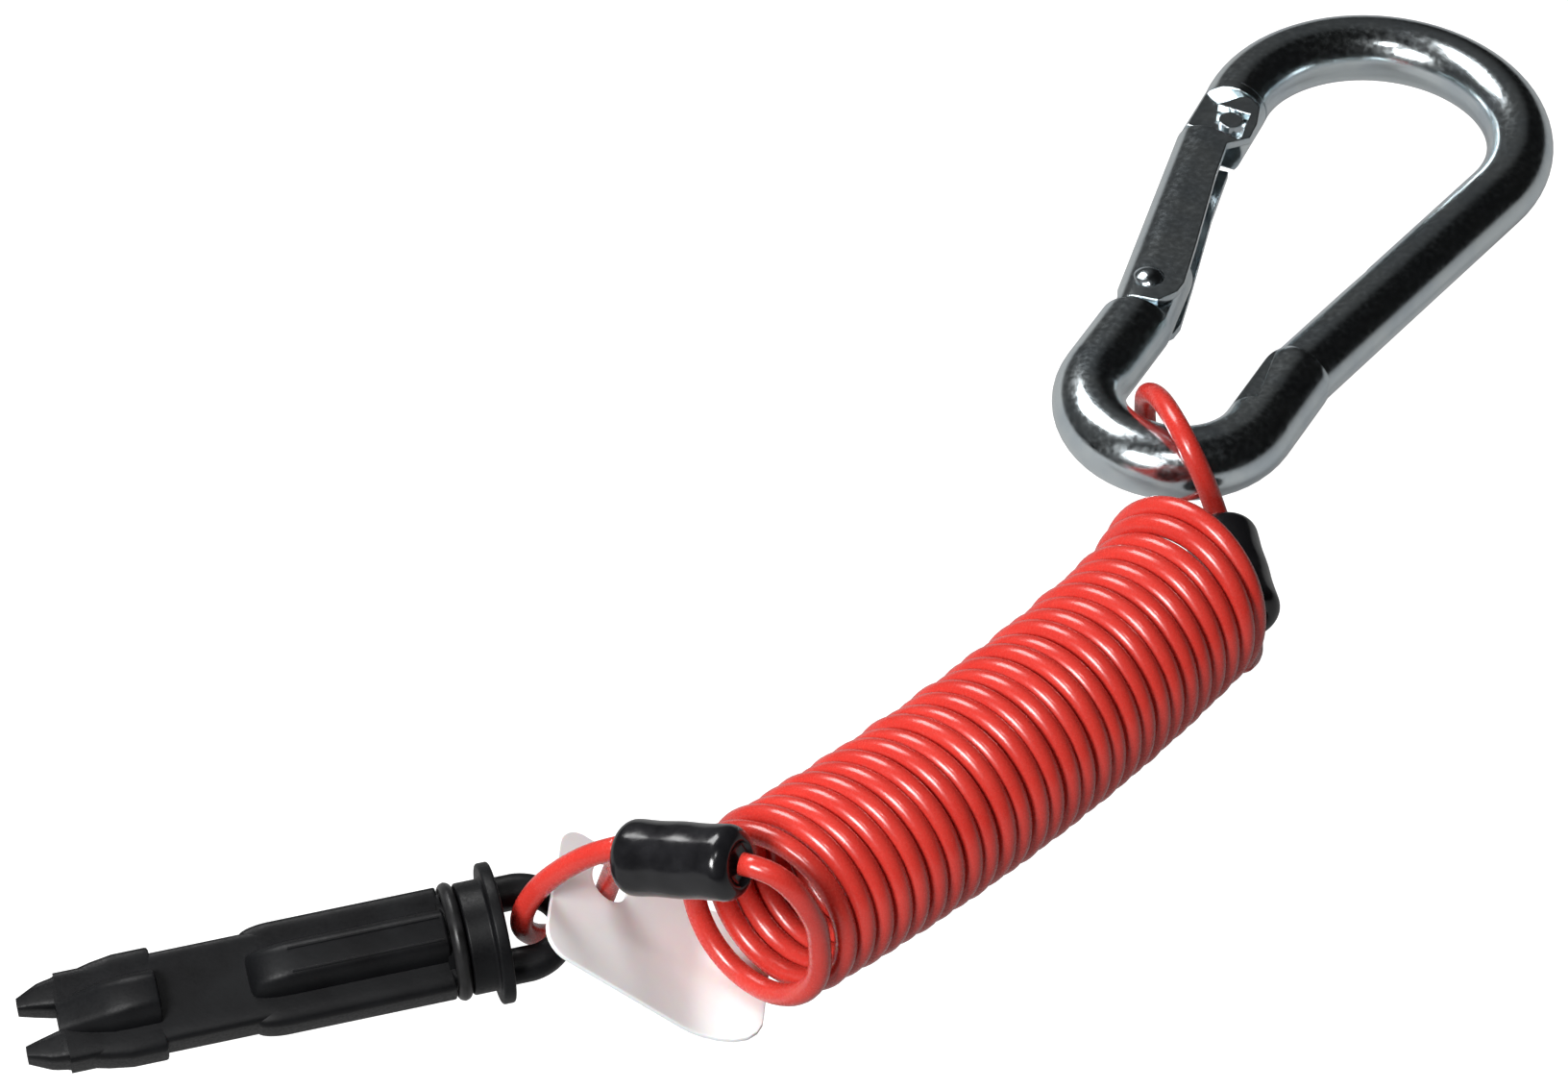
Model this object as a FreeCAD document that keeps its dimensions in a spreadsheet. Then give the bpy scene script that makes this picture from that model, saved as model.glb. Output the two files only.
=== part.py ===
import FreeCAD, Part

# Coiled safety lanyard, in millimetres: a spring snap hook, a curly steel cable with an eye at
# each end, a marker tag and a pull pin. The hook lies flat with its length along +Y, its spine
# on +X and the gate on -X; the origin is the middle of its outline on the floor and +Z is up.

import math
import os

Vector = FreeCAD.Vector
Rotation = FreeCAD.Rotation
Placement = FreeCAD.Placement

DRIVING_SIZES = [
    # snap hook: one bar bent to a pear
    ("bar_diameter", 8.0, "round bar of the spine and big bend"),
    ("eye_bar_diameter", 8.6, "thickened bar of the small bend"),
    ("small_bend_radius", 10.2, "centreline of the small bend"),
    ("big_bend_radius", 17.5, "centreline of the big bend"),
    ("bend_spacing", 55.1, "between the centres of the two bends"),
    ("shoulder_rise", 10.0, "thick bar above the small bend's centre"),
    ("hook_lift", 3.3, "clearance under the small bend for the cable"),
    # gate: a pressed channel on a rivet
    ("rivet_rise", 14.8, "rivet above the small bend's centre"),
    ("gate_lean", 2.3, "gate leans out from the line of the leg"),
    ("gate_width", 7.4, "outside of the channel"),
    ("gate_wall", 1.0, "sheet of the channel"),
    ("gate_length", 29.2, "rivet to the wall's top edge"),
    ("gate_swing", 26.0, "degrees the gate opens"),
    ("gate_skirt", 3.8, "wall below the rivet"),
    ("tongue_top", 5.0, "top of the tongue above the rivet"),
    ("tongue_reach", 4.7, "tongue's inner edge from the rivet"),
    ("gate_reach", 4.2, "channel's depth past the rivet at the hinge"),
    ("gate_taper", 1.2, "less depth at the nose end"),
    ("catch_rise", 1.9, "catch bar above the end of the channel"),
    ("catch_inset", 2.4, "catch bar towards the inside of the hook"),
    ("ear_length", 6.6, "ear above the wall"),
    ("barb_height", 2.5, "load barb at the end of the ear"),
    ("tongue_thickness", 4.9, "flat tongue inside the channel"),
    ("rivet_radius", 1.4, "rivet shank"),
    ("rivet_head_radius", 1.8, "domed rivet heads"),
    ("rivet_fit", 0.04, "radial running clearance of the rivet"),
    ("side_play", 0.2, "clearance between pieces that slide past"),
    ("catch_radius", 1.45, "catch bar across the nose"),
    ("plunger_radius", 2.2, "spring plunger"),
    ("plunger_length", 3.0, "head of the spring plunger"),
    ("plunger_stem", 5.0, "stem inside the spring"),
    ("plunger_travel", 1.5, "plunger over the gate's swing"),
    ("spring_seat", 19.0, "web in the channel, above the rivet"),
    ("spring_radius", 1.7, "centreline of the gate spring"),
    ("spring_wire", 0.6, "gate spring wire diameter"),
    ("spring_turns", 6.0, "working turns of the gate spring"),
    # cable and its fittings
    ("cable_diameter", 2.5, "steel cable over its red jacket"),
    ("coil_diameter", 21.8, "outside of the curly cable"),
    ("coil_length", 72.0, "outside length of the curly cable"),
    ("coil_bow", 2.4, "sideways bow of the coil"),
    ("coil_lift", 1.2, "room for the tag under the coil's near end"),
    ("sleeve_diameter", 8.2, "black sleeve over each crimp"),
    ("sleeve_length", 14.4, "black sleeve over each crimp"),
    ("sleeve_wall", 1.0, "black sleeve over each crimp"),
    # marker tag
    ("tag_width", 17.6, "marker tag"),
    ("tag_flat", 6.4, "part of the tag that lies on the floor"),
    ("tag_slope_length", 21.4, "part of the tag that rises to the eye"),
    ("tag_slope_angle", 38.5, "slope of the raised part in degrees"),
    ("tag_thickness", 0.5, "marker tag"),
    ("tag_corner", 3.0, "corner radius of the tag"),
    ("tag_hole_radius", 2.4, "punched hole"),
    # pull pin
    ("flange_radius", 7.7, "thin stop disc"),
    ("flange_thickness", 1.4, "thin stop disc"),
    ("collar_radius", 6.1, "sealing collar"),
    ("collar_length", 2.8, "sealing collar"),
    ("ring_wire", 1.5, "section of the rubber ring"),
    ("core_width", 10.2, "flat core of the pin"),
    ("core_thickness", 5.2, "flat core of the pin"),
    ("rib_width", 6.3, "raised rib on each broad face"),
    ("rib_height", 11.4, "over the two face ribs"),
    ("lobe_width", 11.8, "over the two edge ribs"),
    ("rear_start", 5.4, "rear ribs from the flange's middle"),
    ("rear_end", 27.0, "rear ribs from the flange's middle"),
    ("nose_start", 36.6, "nose from the flange's middle"),
    ("pin_reach", 51.0, "tip from the flange's middle"),
    ("fork_depth", 3.6, "notch between the two prongs"),
    ("fork_width", 2.2, "notch at its root"),
    ("loop_reach", 9.0, "pull loop behind the flange"),
    ("loop_width", 12.0, "pull loop"),
    ("loop_thickness", 3.8, "pull loop"),
    ("loop_hole_width", 4.4, "eye of the pull loop"),
    ("loop_hole_length", 4.8, "eye of the pull loop"),
]

# Places on the floor: where each piece lies when the lanyard is set down.
COIL_START = Vector(-3.88, -129.0, 0.0)
COIL_HEADING = 73.7
HOOK_SLEEVE_TOP = Vector(12.12, -44.9, 4.3)
HOOK_SLEEVE_HEADING = -52.0
PIN_SLEEVE_LEFT = Vector(-15.58, -134.2, 21.5)
PIN_SLEEVE_DIRECTION = Vector(13.6, 0.9, 5.0)
TAG_END = Vector(0.6, -134.1, 0.0)
TAG_HEADING = 23.0
TAG_HOLE_ALONG = 7.0
TAG_HOLE_ACROSS = 13.4
PIN_CENTRE = Vector(-28.68, -139.6, 7.9)
PIN_HEADING = 222.0
PIN_DIP = 2.0
PIN_ROLL = -24.0

# The cable's free stretches, each a route of hand-chosen points.
HOOK_EYE_ROUTE = [
    Vector(12.1, -44.9, 5.7),
    Vector(10.7, -43.7, 6.9),
    Vector(9.4, -43.5, 9.8),
    Vector(7.4, -43.0, 12.9),
    Vector(4.2, -40.8, 14.6),
    Vector(0.3, -37.0, 13.6),
    Vector(-2.7, -33.9, 10.4),
    Vector(-3.5, -32.4, 6.6),
    Vector(-2.4, -33.9, 3.0),
    Vector(0.5, -37.5, 1.6),
    Vector(4.9, -41.1, 1.5),
    Vector(8.6, -43.1, 1.9),
    Vector(10.9, -43.8, 2.4),
    Vector(12.1, -44.9, 2.9),
]
HOOK_LEAD_ROUTE = [
    Vector(20.99, -56.25, 4.3),
    Vector(22.52, -58.3, 4.3),
    Vector(23.92, -61.1, 4.9),
    Vector(24.32, -64.1, 6.4),
]
PIN_LEAD_ROUTE = [
    Vector(-2.0, -133.3, 26.5),
    Vector(1.1, -133.1, 27.0),
    Vector(3.9, -132.1, 24.0),
    Vector(5.2, -131.3, 20.4),
    Vector(5.6, -130.5, 17.4),
]
PIN_EYE_ROUTE = [
    Vector(-16.1, -134.3, 22.8),
    Vector(-18.5, -135.1, 21.6),
    Vector(-21.7, -136.1, 18.6),
    Vector(-24.3, -137.2, 15.4),
    Vector(-26.0, -138.1, 11.6),
    Vector(-26.6, -137.7, 7.6),
    Vector(-25.5, -134.9, 4.2),
    Vector(-23.4, -131.6, 3.7),
    Vector(-21.6, -129.2, 5.8),
    Vector(-20.8, -128.4, 9.4),
    Vector(-19.2, -130.0, 13.8),
    Vector(-17.2, -132.6, 17.8),
    Vector(-15.2, -134.1, 20.3),
]

document = FreeCAD.newDocument("coiled_safety_lanyard")
sheet = document.addObject("Spreadsheet::Sheet", "Sizes")
finished = {}


def fill_sheet():
    """Write each driving size to the sheet with its alias and its meaning."""
    for row, (alias, value, meaning) in enumerate(DRIVING_SIZES, start=1):
        sheet.set("A%d" % row, alias)
        sheet.set("B%d" % row, str(value))
        sheet.set("C%d" % row, meaning)
        sheet.setAlias("B%d" % row, alias)
    document.recompute()


def size(alias):
    """Read one driving size, in millimetres or degrees."""
    return float(sheet.get(alias))


def polar(length, degrees):
    """Turn a length and a heading on the floor into a vector."""
    return Vector(length * math.cos(math.radians(degrees)), length * math.sin(math.radians(degrees)), 0)


def bind(item, **expressions):
    """Bind an object's properties to cells of the sheet."""
    for prop, expression in expressions.items():
        item.setExpression(prop, expression)
    return item


def box(name, length, width, height, place):
    """Add a box whose three sizes are sheet expressions."""
    item = document.addObject("Part::Box", name)
    bind(item, Length=length, Width=width, Height=height)
    item.Placement = place
    return item


def cylinder(name, radius, height, place):
    """Add a cylinder whose radius and height are sheet expressions."""
    item = document.addObject("Part::Cylinder", name)
    bind(item, Radius=radius, Height=height)
    item.Placement = place
    return item


def bend(name, bend_radius, section_radius, centre, start, sweep):
    """Add a part of a torus about Z from the start angle through the sweep, both in degrees."""
    item = document.addObject("Part::Torus", name)
    bind(item, Radius1=bend_radius, Radius2=section_radius)
    item.Angle3 = sweep
    item.Placement = Placement(centre, Rotation(Vector(0, 0, 1), start))
    return item


def ball(name, radius, centre):
    """Add a sphere that rounds the end of a bar or the meeting of two."""
    item = document.addObject("Part::Sphere", name)
    bind(item, Radius=radius)
    item.Placement = Placement(centre, Rotation())
    return item


def rod(name, radius, start, end):
    """Add a straight round bar between two points."""
    run = end - start
    item = document.addObject("Part::Cylinder", name)
    bind(item, Radius=radius)
    item.Height = run.Length
    item.Placement = Placement(start, Rotation(Vector(0, 0, 1), run))
    return item


def fuse(name, pieces):
    """Join pieces into one solid."""
    item = document.addObject("Part::MultiFuse", name)
    item.Shapes = pieces
    item.Refine = True
    return item


def cut(name, base, tool):
    """Take one piece away from another."""
    item = document.addObject("Part::Cut", name)
    item.Base = base
    item.Tool = tool
    item.Refine = True
    return item


def shaped(name, shape):
    """Add a shape that no primitive gives."""
    item = document.addObject("Part::Feature", name)
    item.Shape = shape
    return item


def outline(points, height, lift):
    """Extrude a closed outline of (x, y) points along Z from the lift."""
    corners = [Vector(x, y, lift) for x, y in points]
    face = Part.Face(Part.makePolygon(corners + corners[:1]))
    return face.extrude(Vector(0, 0, height))


def finish(name, item, place=None):
    """Give a sub-part its name, and its place when it was built in a frame of its own."""
    item.Label = name
    if place is not None:
        item.Placement = place
    finished[name] = item


def hook_place():
    """The hook's own frame, tipped so that the cable passes under the small bend."""
    top = size("bend_spacing") + size("big_bend_radius")
    reach = top + size("small_bend_radius")
    drop = size("hook_lift") + (size("eye_bar_diameter") - size("bar_diameter")) / 2
    tip = math.degrees(math.asin(drop / reach))
    far = small_bend_centre().y + top
    rise = size("bar_diameter") / 2 + far * math.sin(math.radians(tip))
    return Placement(Vector(0, 0, rise), Rotation(Vector(1, 0, 0), -tip))


def small_bend_centre():
    """Centre of the small bend, with the hook's outline centred on the origin."""
    above = size("bend_spacing") + size("big_bend_radius") + size("bar_diameter") / 2
    below = size("small_bend_radius") + size("eye_bar_diameter") / 2
    return Vector(0, (below - above) / 2, 0)


def leg_line():
    """Start, end and lean of a straight leg, from the shoulder to where it meets the big bend."""
    start = small_bend_centre() + Vector(size("small_bend_radius"), size("shoulder_rise"), 0)
    centre = small_bend_centre() + Vector(0, size("bend_spacing"), 0)
    to_centre = centre - start
    run = math.sqrt(to_centre.Length ** 2 - size("big_bend_radius") ** 2)
    angle = math.atan2(to_centre.y, to_centre.x) - math.asin(size("big_bend_radius") / to_centre.Length)
    end = start + Vector(run * math.cos(angle), run * math.sin(angle), 0)
    return start, end, 90 - math.degrees(angle)


def gate_place():
    """The gate's own frame in the hook: rivet at the origin, gate along +Y, hook's inside on +X."""
    start, _, lean = leg_line()
    rise = size("rivet_rise") - size("shoulder_rise")
    side = start.x + rise * math.tan(math.radians(lean))
    rivet = Vector(-side, small_bend_centre().y + size("rivet_rise"), 0)
    return Placement(rivet, Rotation(Vector(0, 0, 1), lean + size("gate_lean")))


def in_gate(vector):
    """A point of the gate's frame, seen in the hook's frame."""
    return gate_place().multVec(vector)


def catch_centre():
    """Middle of the catch bar in the gate's frame, just under the barbs of the closed gate."""
    return Vector(size("catch_inset"), size("gate_length") + size("catch_rise"), 0)


def hook_bar():
    """The bent bar before its ends are milled."""
    centre = small_bend_centre()
    start, end, lean = leg_line()
    top = centre + Vector(0, size("bend_spacing"), 0)
    shoulder = centre + Vector(size("small_bend_radius"), size("shoulder_rise"), 0)
    hinge_side = Vector(-shoulder.x, shoulder.y, 0)
    tongue_end = in_gate(Vector(0, size("tongue_top") + 1.0, 0))
    nose_end = in_gate(Vector(0.5, catch_centre().y - size("catch_radius"), 0))
    bend_end = Vector(-end.x, end.y, 0)
    thick = "Sizes.eye_bar_diameter / 2"
    thin = "Sizes.bar_diameter / 2"
    return fuse("hook_bar", [
        bend("small_bend", "Sizes.small_bend_radius", thick, centre, 180, 180),
        rod("spine_foot", thick, centre + Vector(size("small_bend_radius"), 0, 0), shoulder),
        ball("shoulder", thick, shoulder),
        rod("hinge_foot", thick, centre - Vector(size("small_bend_radius"), 0, 0), hinge_side),
        ball("hinge_corner", thick, hinge_side),
        rod("tongue_bar", thick, hinge_side, tongue_end),
        rod("spine", thin, start, end),
        bend("big_bend", "Sizes.big_bend_radius", thin, top, -lean, 180 + 2 * lean),
        rod("nose_bar", thin, bend_end, nose_end),
    ])


def milled_away():
    """What is pressed or milled off the bar: the tongue's flats and round corner, the nose's neck."""
    half = size("tongue_thickness") / 2
    deep = 2 * size("eye_bar_diameter")
    wall = size("gate_width") / 2 - size("gate_wall") - size("side_play")
    skirt = size("gate_skirt") + 1.0
    top = size("tongue_top")
    reach = size("tongue_reach")
    neck_top = size("gate_length") + size("ear_length") + 0.8
    neck_foot = 0.7 * size("gate_length")
    in_channel = Part.makeCylinder(wall, deep, Vector(0, -skirt, 0), Vector(0, 1, 0))
    in_channel = in_channel.fuse(Part.makeBox(deep, deep, 2 * half, Vector(0, -skirt, -half)))
    around = Part.makeBox(2 * deep, neck_foot + skirt, 2 * deep, Vector(-deep, -skirt, -deep))
    around = around.cut(in_channel)
    corner = outline([(-deep, 0), (0, 0), (0, deep), (-deep, deep)], 2 * deep, -deep)
    corner = corner.cut(Part.makeCylinder(wall, 2 * deep, Vector(0, 0, -deep)))
    lip = outline([
        (3.2, -skirt), (3.2, -2.6 * skirt + 1.6), (2.4, -2.6 * skirt), (1.9, -2.6 * skirt - 1.0),
        (1.9, -3.6 * skirt), (deep, -3.6 * skirt), (deep, -skirt),
    ], deep, half)
    swept = []
    for turn in range(1, 7):
        above = Part.makeBox(2 * deep, neck_foot, 2 * deep, Vector(-deep, 0, -deep)).cut(in_channel)
        above.rotate(Vector(), Vector(0, 0, 1), -turn * size("gate_swing") / 6)
        swept.append(above)
    tools = swept + [
        around,
        corner,
        lip,
        lip.mirror(Vector(), Vector(0, 0, 1)),
        outline([(reach, -skirt), (deep, -skirt), (deep, top), (reach, top)], 2 * deep, -deep),
        outline([(-deep, top), (deep, top), (deep, neck_foot), (-deep, neck_foot)], 2 * deep, -deep),
        Part.makeBox(2 * deep, neck_top - neck_foot, deep, Vector(-deep, neck_foot, half)),
        Part.makeBox(2 * deep, neck_top - neck_foot, deep, Vector(-deep, neck_foot, -half - deep)),
        Part.makeCylinder(size("rivet_radius") + size("rivet_fit"), 2 * deep, Vector(0, 0, -deep)),
    ]
    tool = tools[0].multiFuse(tools[1:])
    tool.Placement = gate_place()
    return shaped("milled_away", tool)


def build_hook_body():
    """The one-piece body: bent bar, hinge tongue, and nose with its catch bar."""
    catch = cylinder("catch_bar", "Sizes.catch_radius", "Sizes.gate_width / 2 - 0.1", Placement(
        in_gate(catch_centre()), Rotation()))
    body = fuse("hook_body_solid", [cut("milled_bar", hook_bar(), milled_away()), catch])
    finish("hook_body", body, hook_place())


def build_gate():
    """The gate: a pressed channel, riveted at the foot, with a barbed ear at the nose."""
    radius = size("gate_width") / 2
    inner = radius - size("gate_wall")
    reach = size("gate_reach")
    far_reach = reach - size("gate_taper")
    skirt = size("gate_skirt")
    top = size("gate_length")
    ears = top + size("ear_length")
    barb = ears - size("barb_height")
    stem = size("catch_inset") + size("catch_radius") + 0.55
    span = ears + skirt + 4
    walls = Part.makeBox(reach + 1.5, 2 * radius, span, Vector(0, -radius, 0))
    between = Part.makeBox(reach + 2, 2 * inner, span, Vector(0, -inner, 0))
    channel = Part.makeCylinder(radius, span).fuse(walls)
    section = channel.cut(Part.makeCylinder(inner, span).fuse(between))
    section.Placement = Placement(Vector(0, -skirt - 1, 0), Rotation(Vector(1, 0, 0), -90))
    foot = [
        (-radius - 0.3, 1.5), (-radius + 1.0, -skirt), (2.0, -skirt), (reach - 0.4, -1.6), (reach, 0.2),
        (reach - 0.3, top / 4), (far_reach + 0.1, 0.7 * top),
    ]
    eared = foot + [
        (far_reach, top - 2.6), (stem + 1.0, top - 0.8), (stem + 1.2, top + 2.0), (stem + 0.8, ears - 1.4),
        (stem - 0.6, ears), (stem - 1.6, ears), (0.2, barb + 0.2), (0.3, barb), (stem, barb - 0.6),
        (stem, top - 1.0), (stem - 0.4, top - 1.5), (0.8, top - 0.2), (-radius - 1, top),
    ]
    plain = foot + [(far_reach, top - 0.2), (-radius - 1, top)]
    shell = section.common(outline(eared, 2 * radius, 0).fuse(outline(plain, 2 * radius, -2 * radius)))
    web = Part.makeBox(inner + 1.5, 1.0, 2 * inner, Vector(-inner, size("spring_seat"), -inner))
    web = web.common(Part.makeBox(20, 20, 20, Vector(-inner + 0.05, 10, -10)))
    curved = Part.makeCylinder(inner + 0.2, 4, Vector(0, size("spring_seat") - 1, 0), Vector(0, 1, 0))
    straight = Part.makeBox(10, 10, 2 * inner, Vector(0, size("spring_seat") - 4, -inner))
    web = web.common(curved.fuse(straight))
    gate = shell.fuse(web)
    gate = gate.cut(Part.makeCylinder(size("rivet_radius"), 4 * radius, Vector(0, 0, -2 * radius)))
    finish("hook_gate", shaped("gate_shape", gate), hook_place().multiply(gate_place()))


def build_rivet():
    """The gate's rivet with a domed head on each flange."""
    half = size("gate_width") / 2
    head = size("rivet_head_radius")
    dome = 0.8
    ball_radius = (head ** 2 + dome ** 2) / (2 * dome)
    shank = Part.makeCylinder(size("rivet_radius"), 2 * half, Vector(0, 0, -half))
    pieces = []
    for side in (1, -1):
        sphere = Part.makeSphere(ball_radius, Vector(0, 0, side * (half + dome - ball_radius)))
        slab = Part.makeCylinder(head, dome, Vector(0, 0, half), Vector(0, 0, 1))
        slab.Placement = Placement(Vector(), Rotation(Vector(1, 0, 0), 0 if side > 0 else 180))
        pieces.append(sphere.common(slab))
    finish("gate_rivet", shaped("rivet_shape", shank.multiFuse(pieces)), hook_place().multiply(gate_place()))


def build_plunger_and_spring():
    """The sprung plunger that shuts the gate, and its coil spring on the seat web."""
    face = size("tongue_top") + 0.3
    along = Rotation(Vector(1, 0, 0), -90)
    head = cylinder("plunger_head", "Sizes.plunger_radius", "Sizes.plunger_length",
                    Placement(Vector(0, face, 0), along))
    stem = cylinder("plunger_rod", "Sizes.spring_radius - 0.7", "Sizes.plunger_length + Sizes.plunger_stem",
                    Placement(Vector(0, face, 0), along))
    finish("gate_plunger", fuse("plunger_solid", [head, stem]), hook_place().multiply(gate_place()))
    wire = size("spring_wire")
    low = face + size("plunger_length") + size("plunger_travel") + 0.1 + wire / 2
    high = size("spring_seat") - 0.02 - wire / 2
    pitch = (high - low) / size("spring_turns")
    helix = Part.makeHelix(pitch, high - low, size("spring_radius"))
    section = Part.Wire(Part.makeCircle(wire / 2, Vector(size("spring_radius"), 0, 0), Vector(0, 1, 0)))
    spring = Part.Wire(helix.Edges).makePipeShell([section], True, True)
    place = hook_place().multiply(gate_place()).multiply(Placement(Vector(0, low, 0), along))
    finish("gate_spring", shaped("spring_shape", spring), place)


def cable_path(points):
    """Straight runs joined by tangent arcs, each as large as its two runs allow."""
    edges = []
    radii = []
    here = points[0]
    for before, corner, after in zip(points, points[1:], points[2:]):
        inward = (corner - before).normalize()
        outward = (after - corner).normalize()
        turn = math.acos(max(-1.0, min(1.0, inward.dot(outward))))
        setback = 0.45 * min((corner - before).Length, (after - corner).Length)
        radius = setback / math.tan(turn / 2)
        start = corner - inward * setback
        end = corner + outward * setback
        middle_way = (outward - inward).normalize()
        depth = radius / math.cos(turn / 2) - radius
        edges.append(Part.LineSegment(here, start).toShape())
        edges.append(Part.Arc(start, corner + middle_way * depth, end).toShape())
        radii.append(radius)
        here = end
    edges.append(Part.LineSegment(here, points[-1]).toShape())
    return Part.Wire(edges), radii


def build_cable(name, points):
    """One free stretch of the cable as a round tube along its route."""
    path, radii = cable_path(points)
    radius = size("cable_diameter") / 2
    section = Part.Wire(Part.makeCircle(radius, points[0], points[1] - points[0]))
    tube = path.makePipeShell([section], True, False)
    expected = math.pi * radius ** 2 * path.Length
    print("%s: length %.1f, volume off by %.2f%%, radii %s" % (
        name, path.Length, 100 * (tube.Volume / expected - 1), ["%.1f" % r for r in radii]))
    if abs(tube.Volume / expected - 1) > 0.02:
        raise ValueError("%s does not have the volume of its route" % name)
    finish(name, shaped(name + "_shape", tube))


def build_coil():
    """The curly stretch as one fat tube along a gently bowed arc."""
    outer = size("coil_diameter") / 2
    inner = outer - size("cable_diameter")
    run = size("coil_length") - size("cable_diameter")
    heading = polar(1, COIL_HEADING)
    across = Vector(heading.y, -heading.x, 0)
    start = COIL_START + Vector(0, 0, outer + size("coil_lift"))
    end = COIL_START + heading * run + Vector(0, 0, outer)
    middle = (start + end) * 0.5 + across * size("coil_bow")
    arc = Part.Arc(start, middle, end)
    circle = arc.toShape().Curve
    axis = circle.Axis
    if axis.cross(start - circle.Center).dot(heading) < 0:
        axis = axis * -1
    first = axis.cross(start - circle.Center).normalize()
    turn = math.degrees(2 * math.asin((end - start).Length / 2 / circle.Radius))
    solids = []
    for radius in (outer, inner):
        disc = Part.Face(Part.Wire(Part.makeCircle(radius, start, first)))
        solids.append(Part.Solid(disc.revolve(circle.Center, axis, turn)))
    for solid in solids:
        if solid.Volume < 0:
            solid.reverse()
    finish("cable_coil", shaped("coil_shape", solids[0].cut(solids[1])))


def build_sleeve_pair(side, start, direction):
    """A crimp ferrule on the two strands of an eye, under its black sleeve."""
    place = Placement(start, Rotation(Vector(0, 0, 1), direction))
    wall = 0.8
    length = size("sleeve_length")
    radius = size("sleeve_diameter") / 2
    outer = Part.makeCylinder(radius, length)
    outer = outer.makeFillet(1.6, [edge for edge in outer.Edges if edge.Curve.TypeId == "Part::GeomCircle"])
    hollow = Part.makeCylinder(radius - size("sleeve_wall"), length - 2 * wall, Vector(0, 0, wall))
    finish("sleeve_" + side, shaped("sleeve_%s_shape" % side, outer.cut(hollow)), place)
    ferrule = cylinder("ferrule_%s_solid" % side, "Sizes.sleeve_diameter / 2 - Sizes.sleeve_wall",
                       "Sizes.sleeve_length - 1.6", Placement())
    finish("ferrule_" + side, ferrule, place.multiply(Placement(Vector(0, 0, wall), Rotation())))


def build_tag():
    """The marker tag: a thin strip, flat at one end and sloping up to the cable at the other."""
    flat = size("tag_flat")
    slope = math.radians(size("tag_slope_angle"))
    rise = size("tag_slope_length")
    thick = size("tag_thickness")
    width = size("tag_width")
    along = Vector(-math.cos(slope), 0, math.sin(slope))
    face_side = Vector(math.sin(slope), 0, math.cos(slope))
    bend_radius = 8.0
    setback = bend_radius * math.tan(slope / 2)
    corner = Vector(-flat, 0, 0)
    top = corner + along * rise
    up = Vector(0, 0, 1)
    start, end = corner + Vector(setback, 0, 0), corner + along * setback
    centre = start + up * bend_radius
    low_mid = centre + (corner - centre).normalize() * bend_radius
    high_mid = centre + (corner - centre).normalize() * (bend_radius - thick)
    edges = [
        Part.LineSegment(Vector(0, 0, 0), start).toShape(),
        Part.Arc(start, low_mid, end).toShape(),
        Part.LineSegment(end, top).toShape(),
        Part.LineSegment(top, top + face_side * thick).toShape(),
        Part.LineSegment(top + face_side * thick, end + face_side * thick).toShape(),
        Part.Arc(end + face_side * thick, high_mid, start + up * thick).toShape(),
        Part.LineSegment(start + up * thick, up * thick).toShape(),
        Part.LineSegment(up * thick, Vector(0, 0, 0)).toShape(),
    ]
    strip = Part.Face(Part.Wire(edges)).extrude(Vector(0, width, 0))
    ends = []
    for edge in strip.Edges:
        if abs(edge.Length - thick) < 1e-6 and abs(edge.tangentAt(edge.FirstParameter).y) < 1e-6:
            ends.append(edge)
    strip = strip.makeFillet(size("tag_corner"), ends)
    hole_at = top - along * TAG_HOLE_ALONG + Vector(0, TAG_HOLE_ACROSS, 0) - face_side * 5
    strip = strip.cut(Part.makeCylinder(size("tag_hole_radius"), 10, hole_at, face_side))
    place = Placement(TAG_END, Rotation(Vector(0, 0, 1), TAG_HEADING))
    finish("marker_tag", shaped("tag_shape", strip), place)


def pin_place():
    """The pull pin's frame: flange's middle at the origin, tip along +X, broad faces on Z."""
    turn = Rotation(Vector(0, 0, 1), PIN_HEADING)
    dip = Rotation(Vector(0, 1, 0), PIN_DIP)
    roll = Rotation(Vector(1, 0, 0), PIN_ROLL)
    return Placement(PIN_CENTRE, turn.multiply(dip).multiply(roll))


def ramped_rib(name, start, end, front_ramp, half_width, reach, wide):
    """A lengthwise rib with a rounded front ramp, on the broad faces or, if wide, on the edges."""
    rear = [(start, -reach), (end - front_ramp, -reach), (end, -reach + front_ramp * 0.5)]
    points = rear + [(x, -y) for x, y in reversed(rear)]
    rib = outline(points, 2 * half_width, -half_width)
    if not wide:
        rib.rotate(Vector(), Vector(1, 0, 0), 90)
    return shaped(name, rib)


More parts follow.
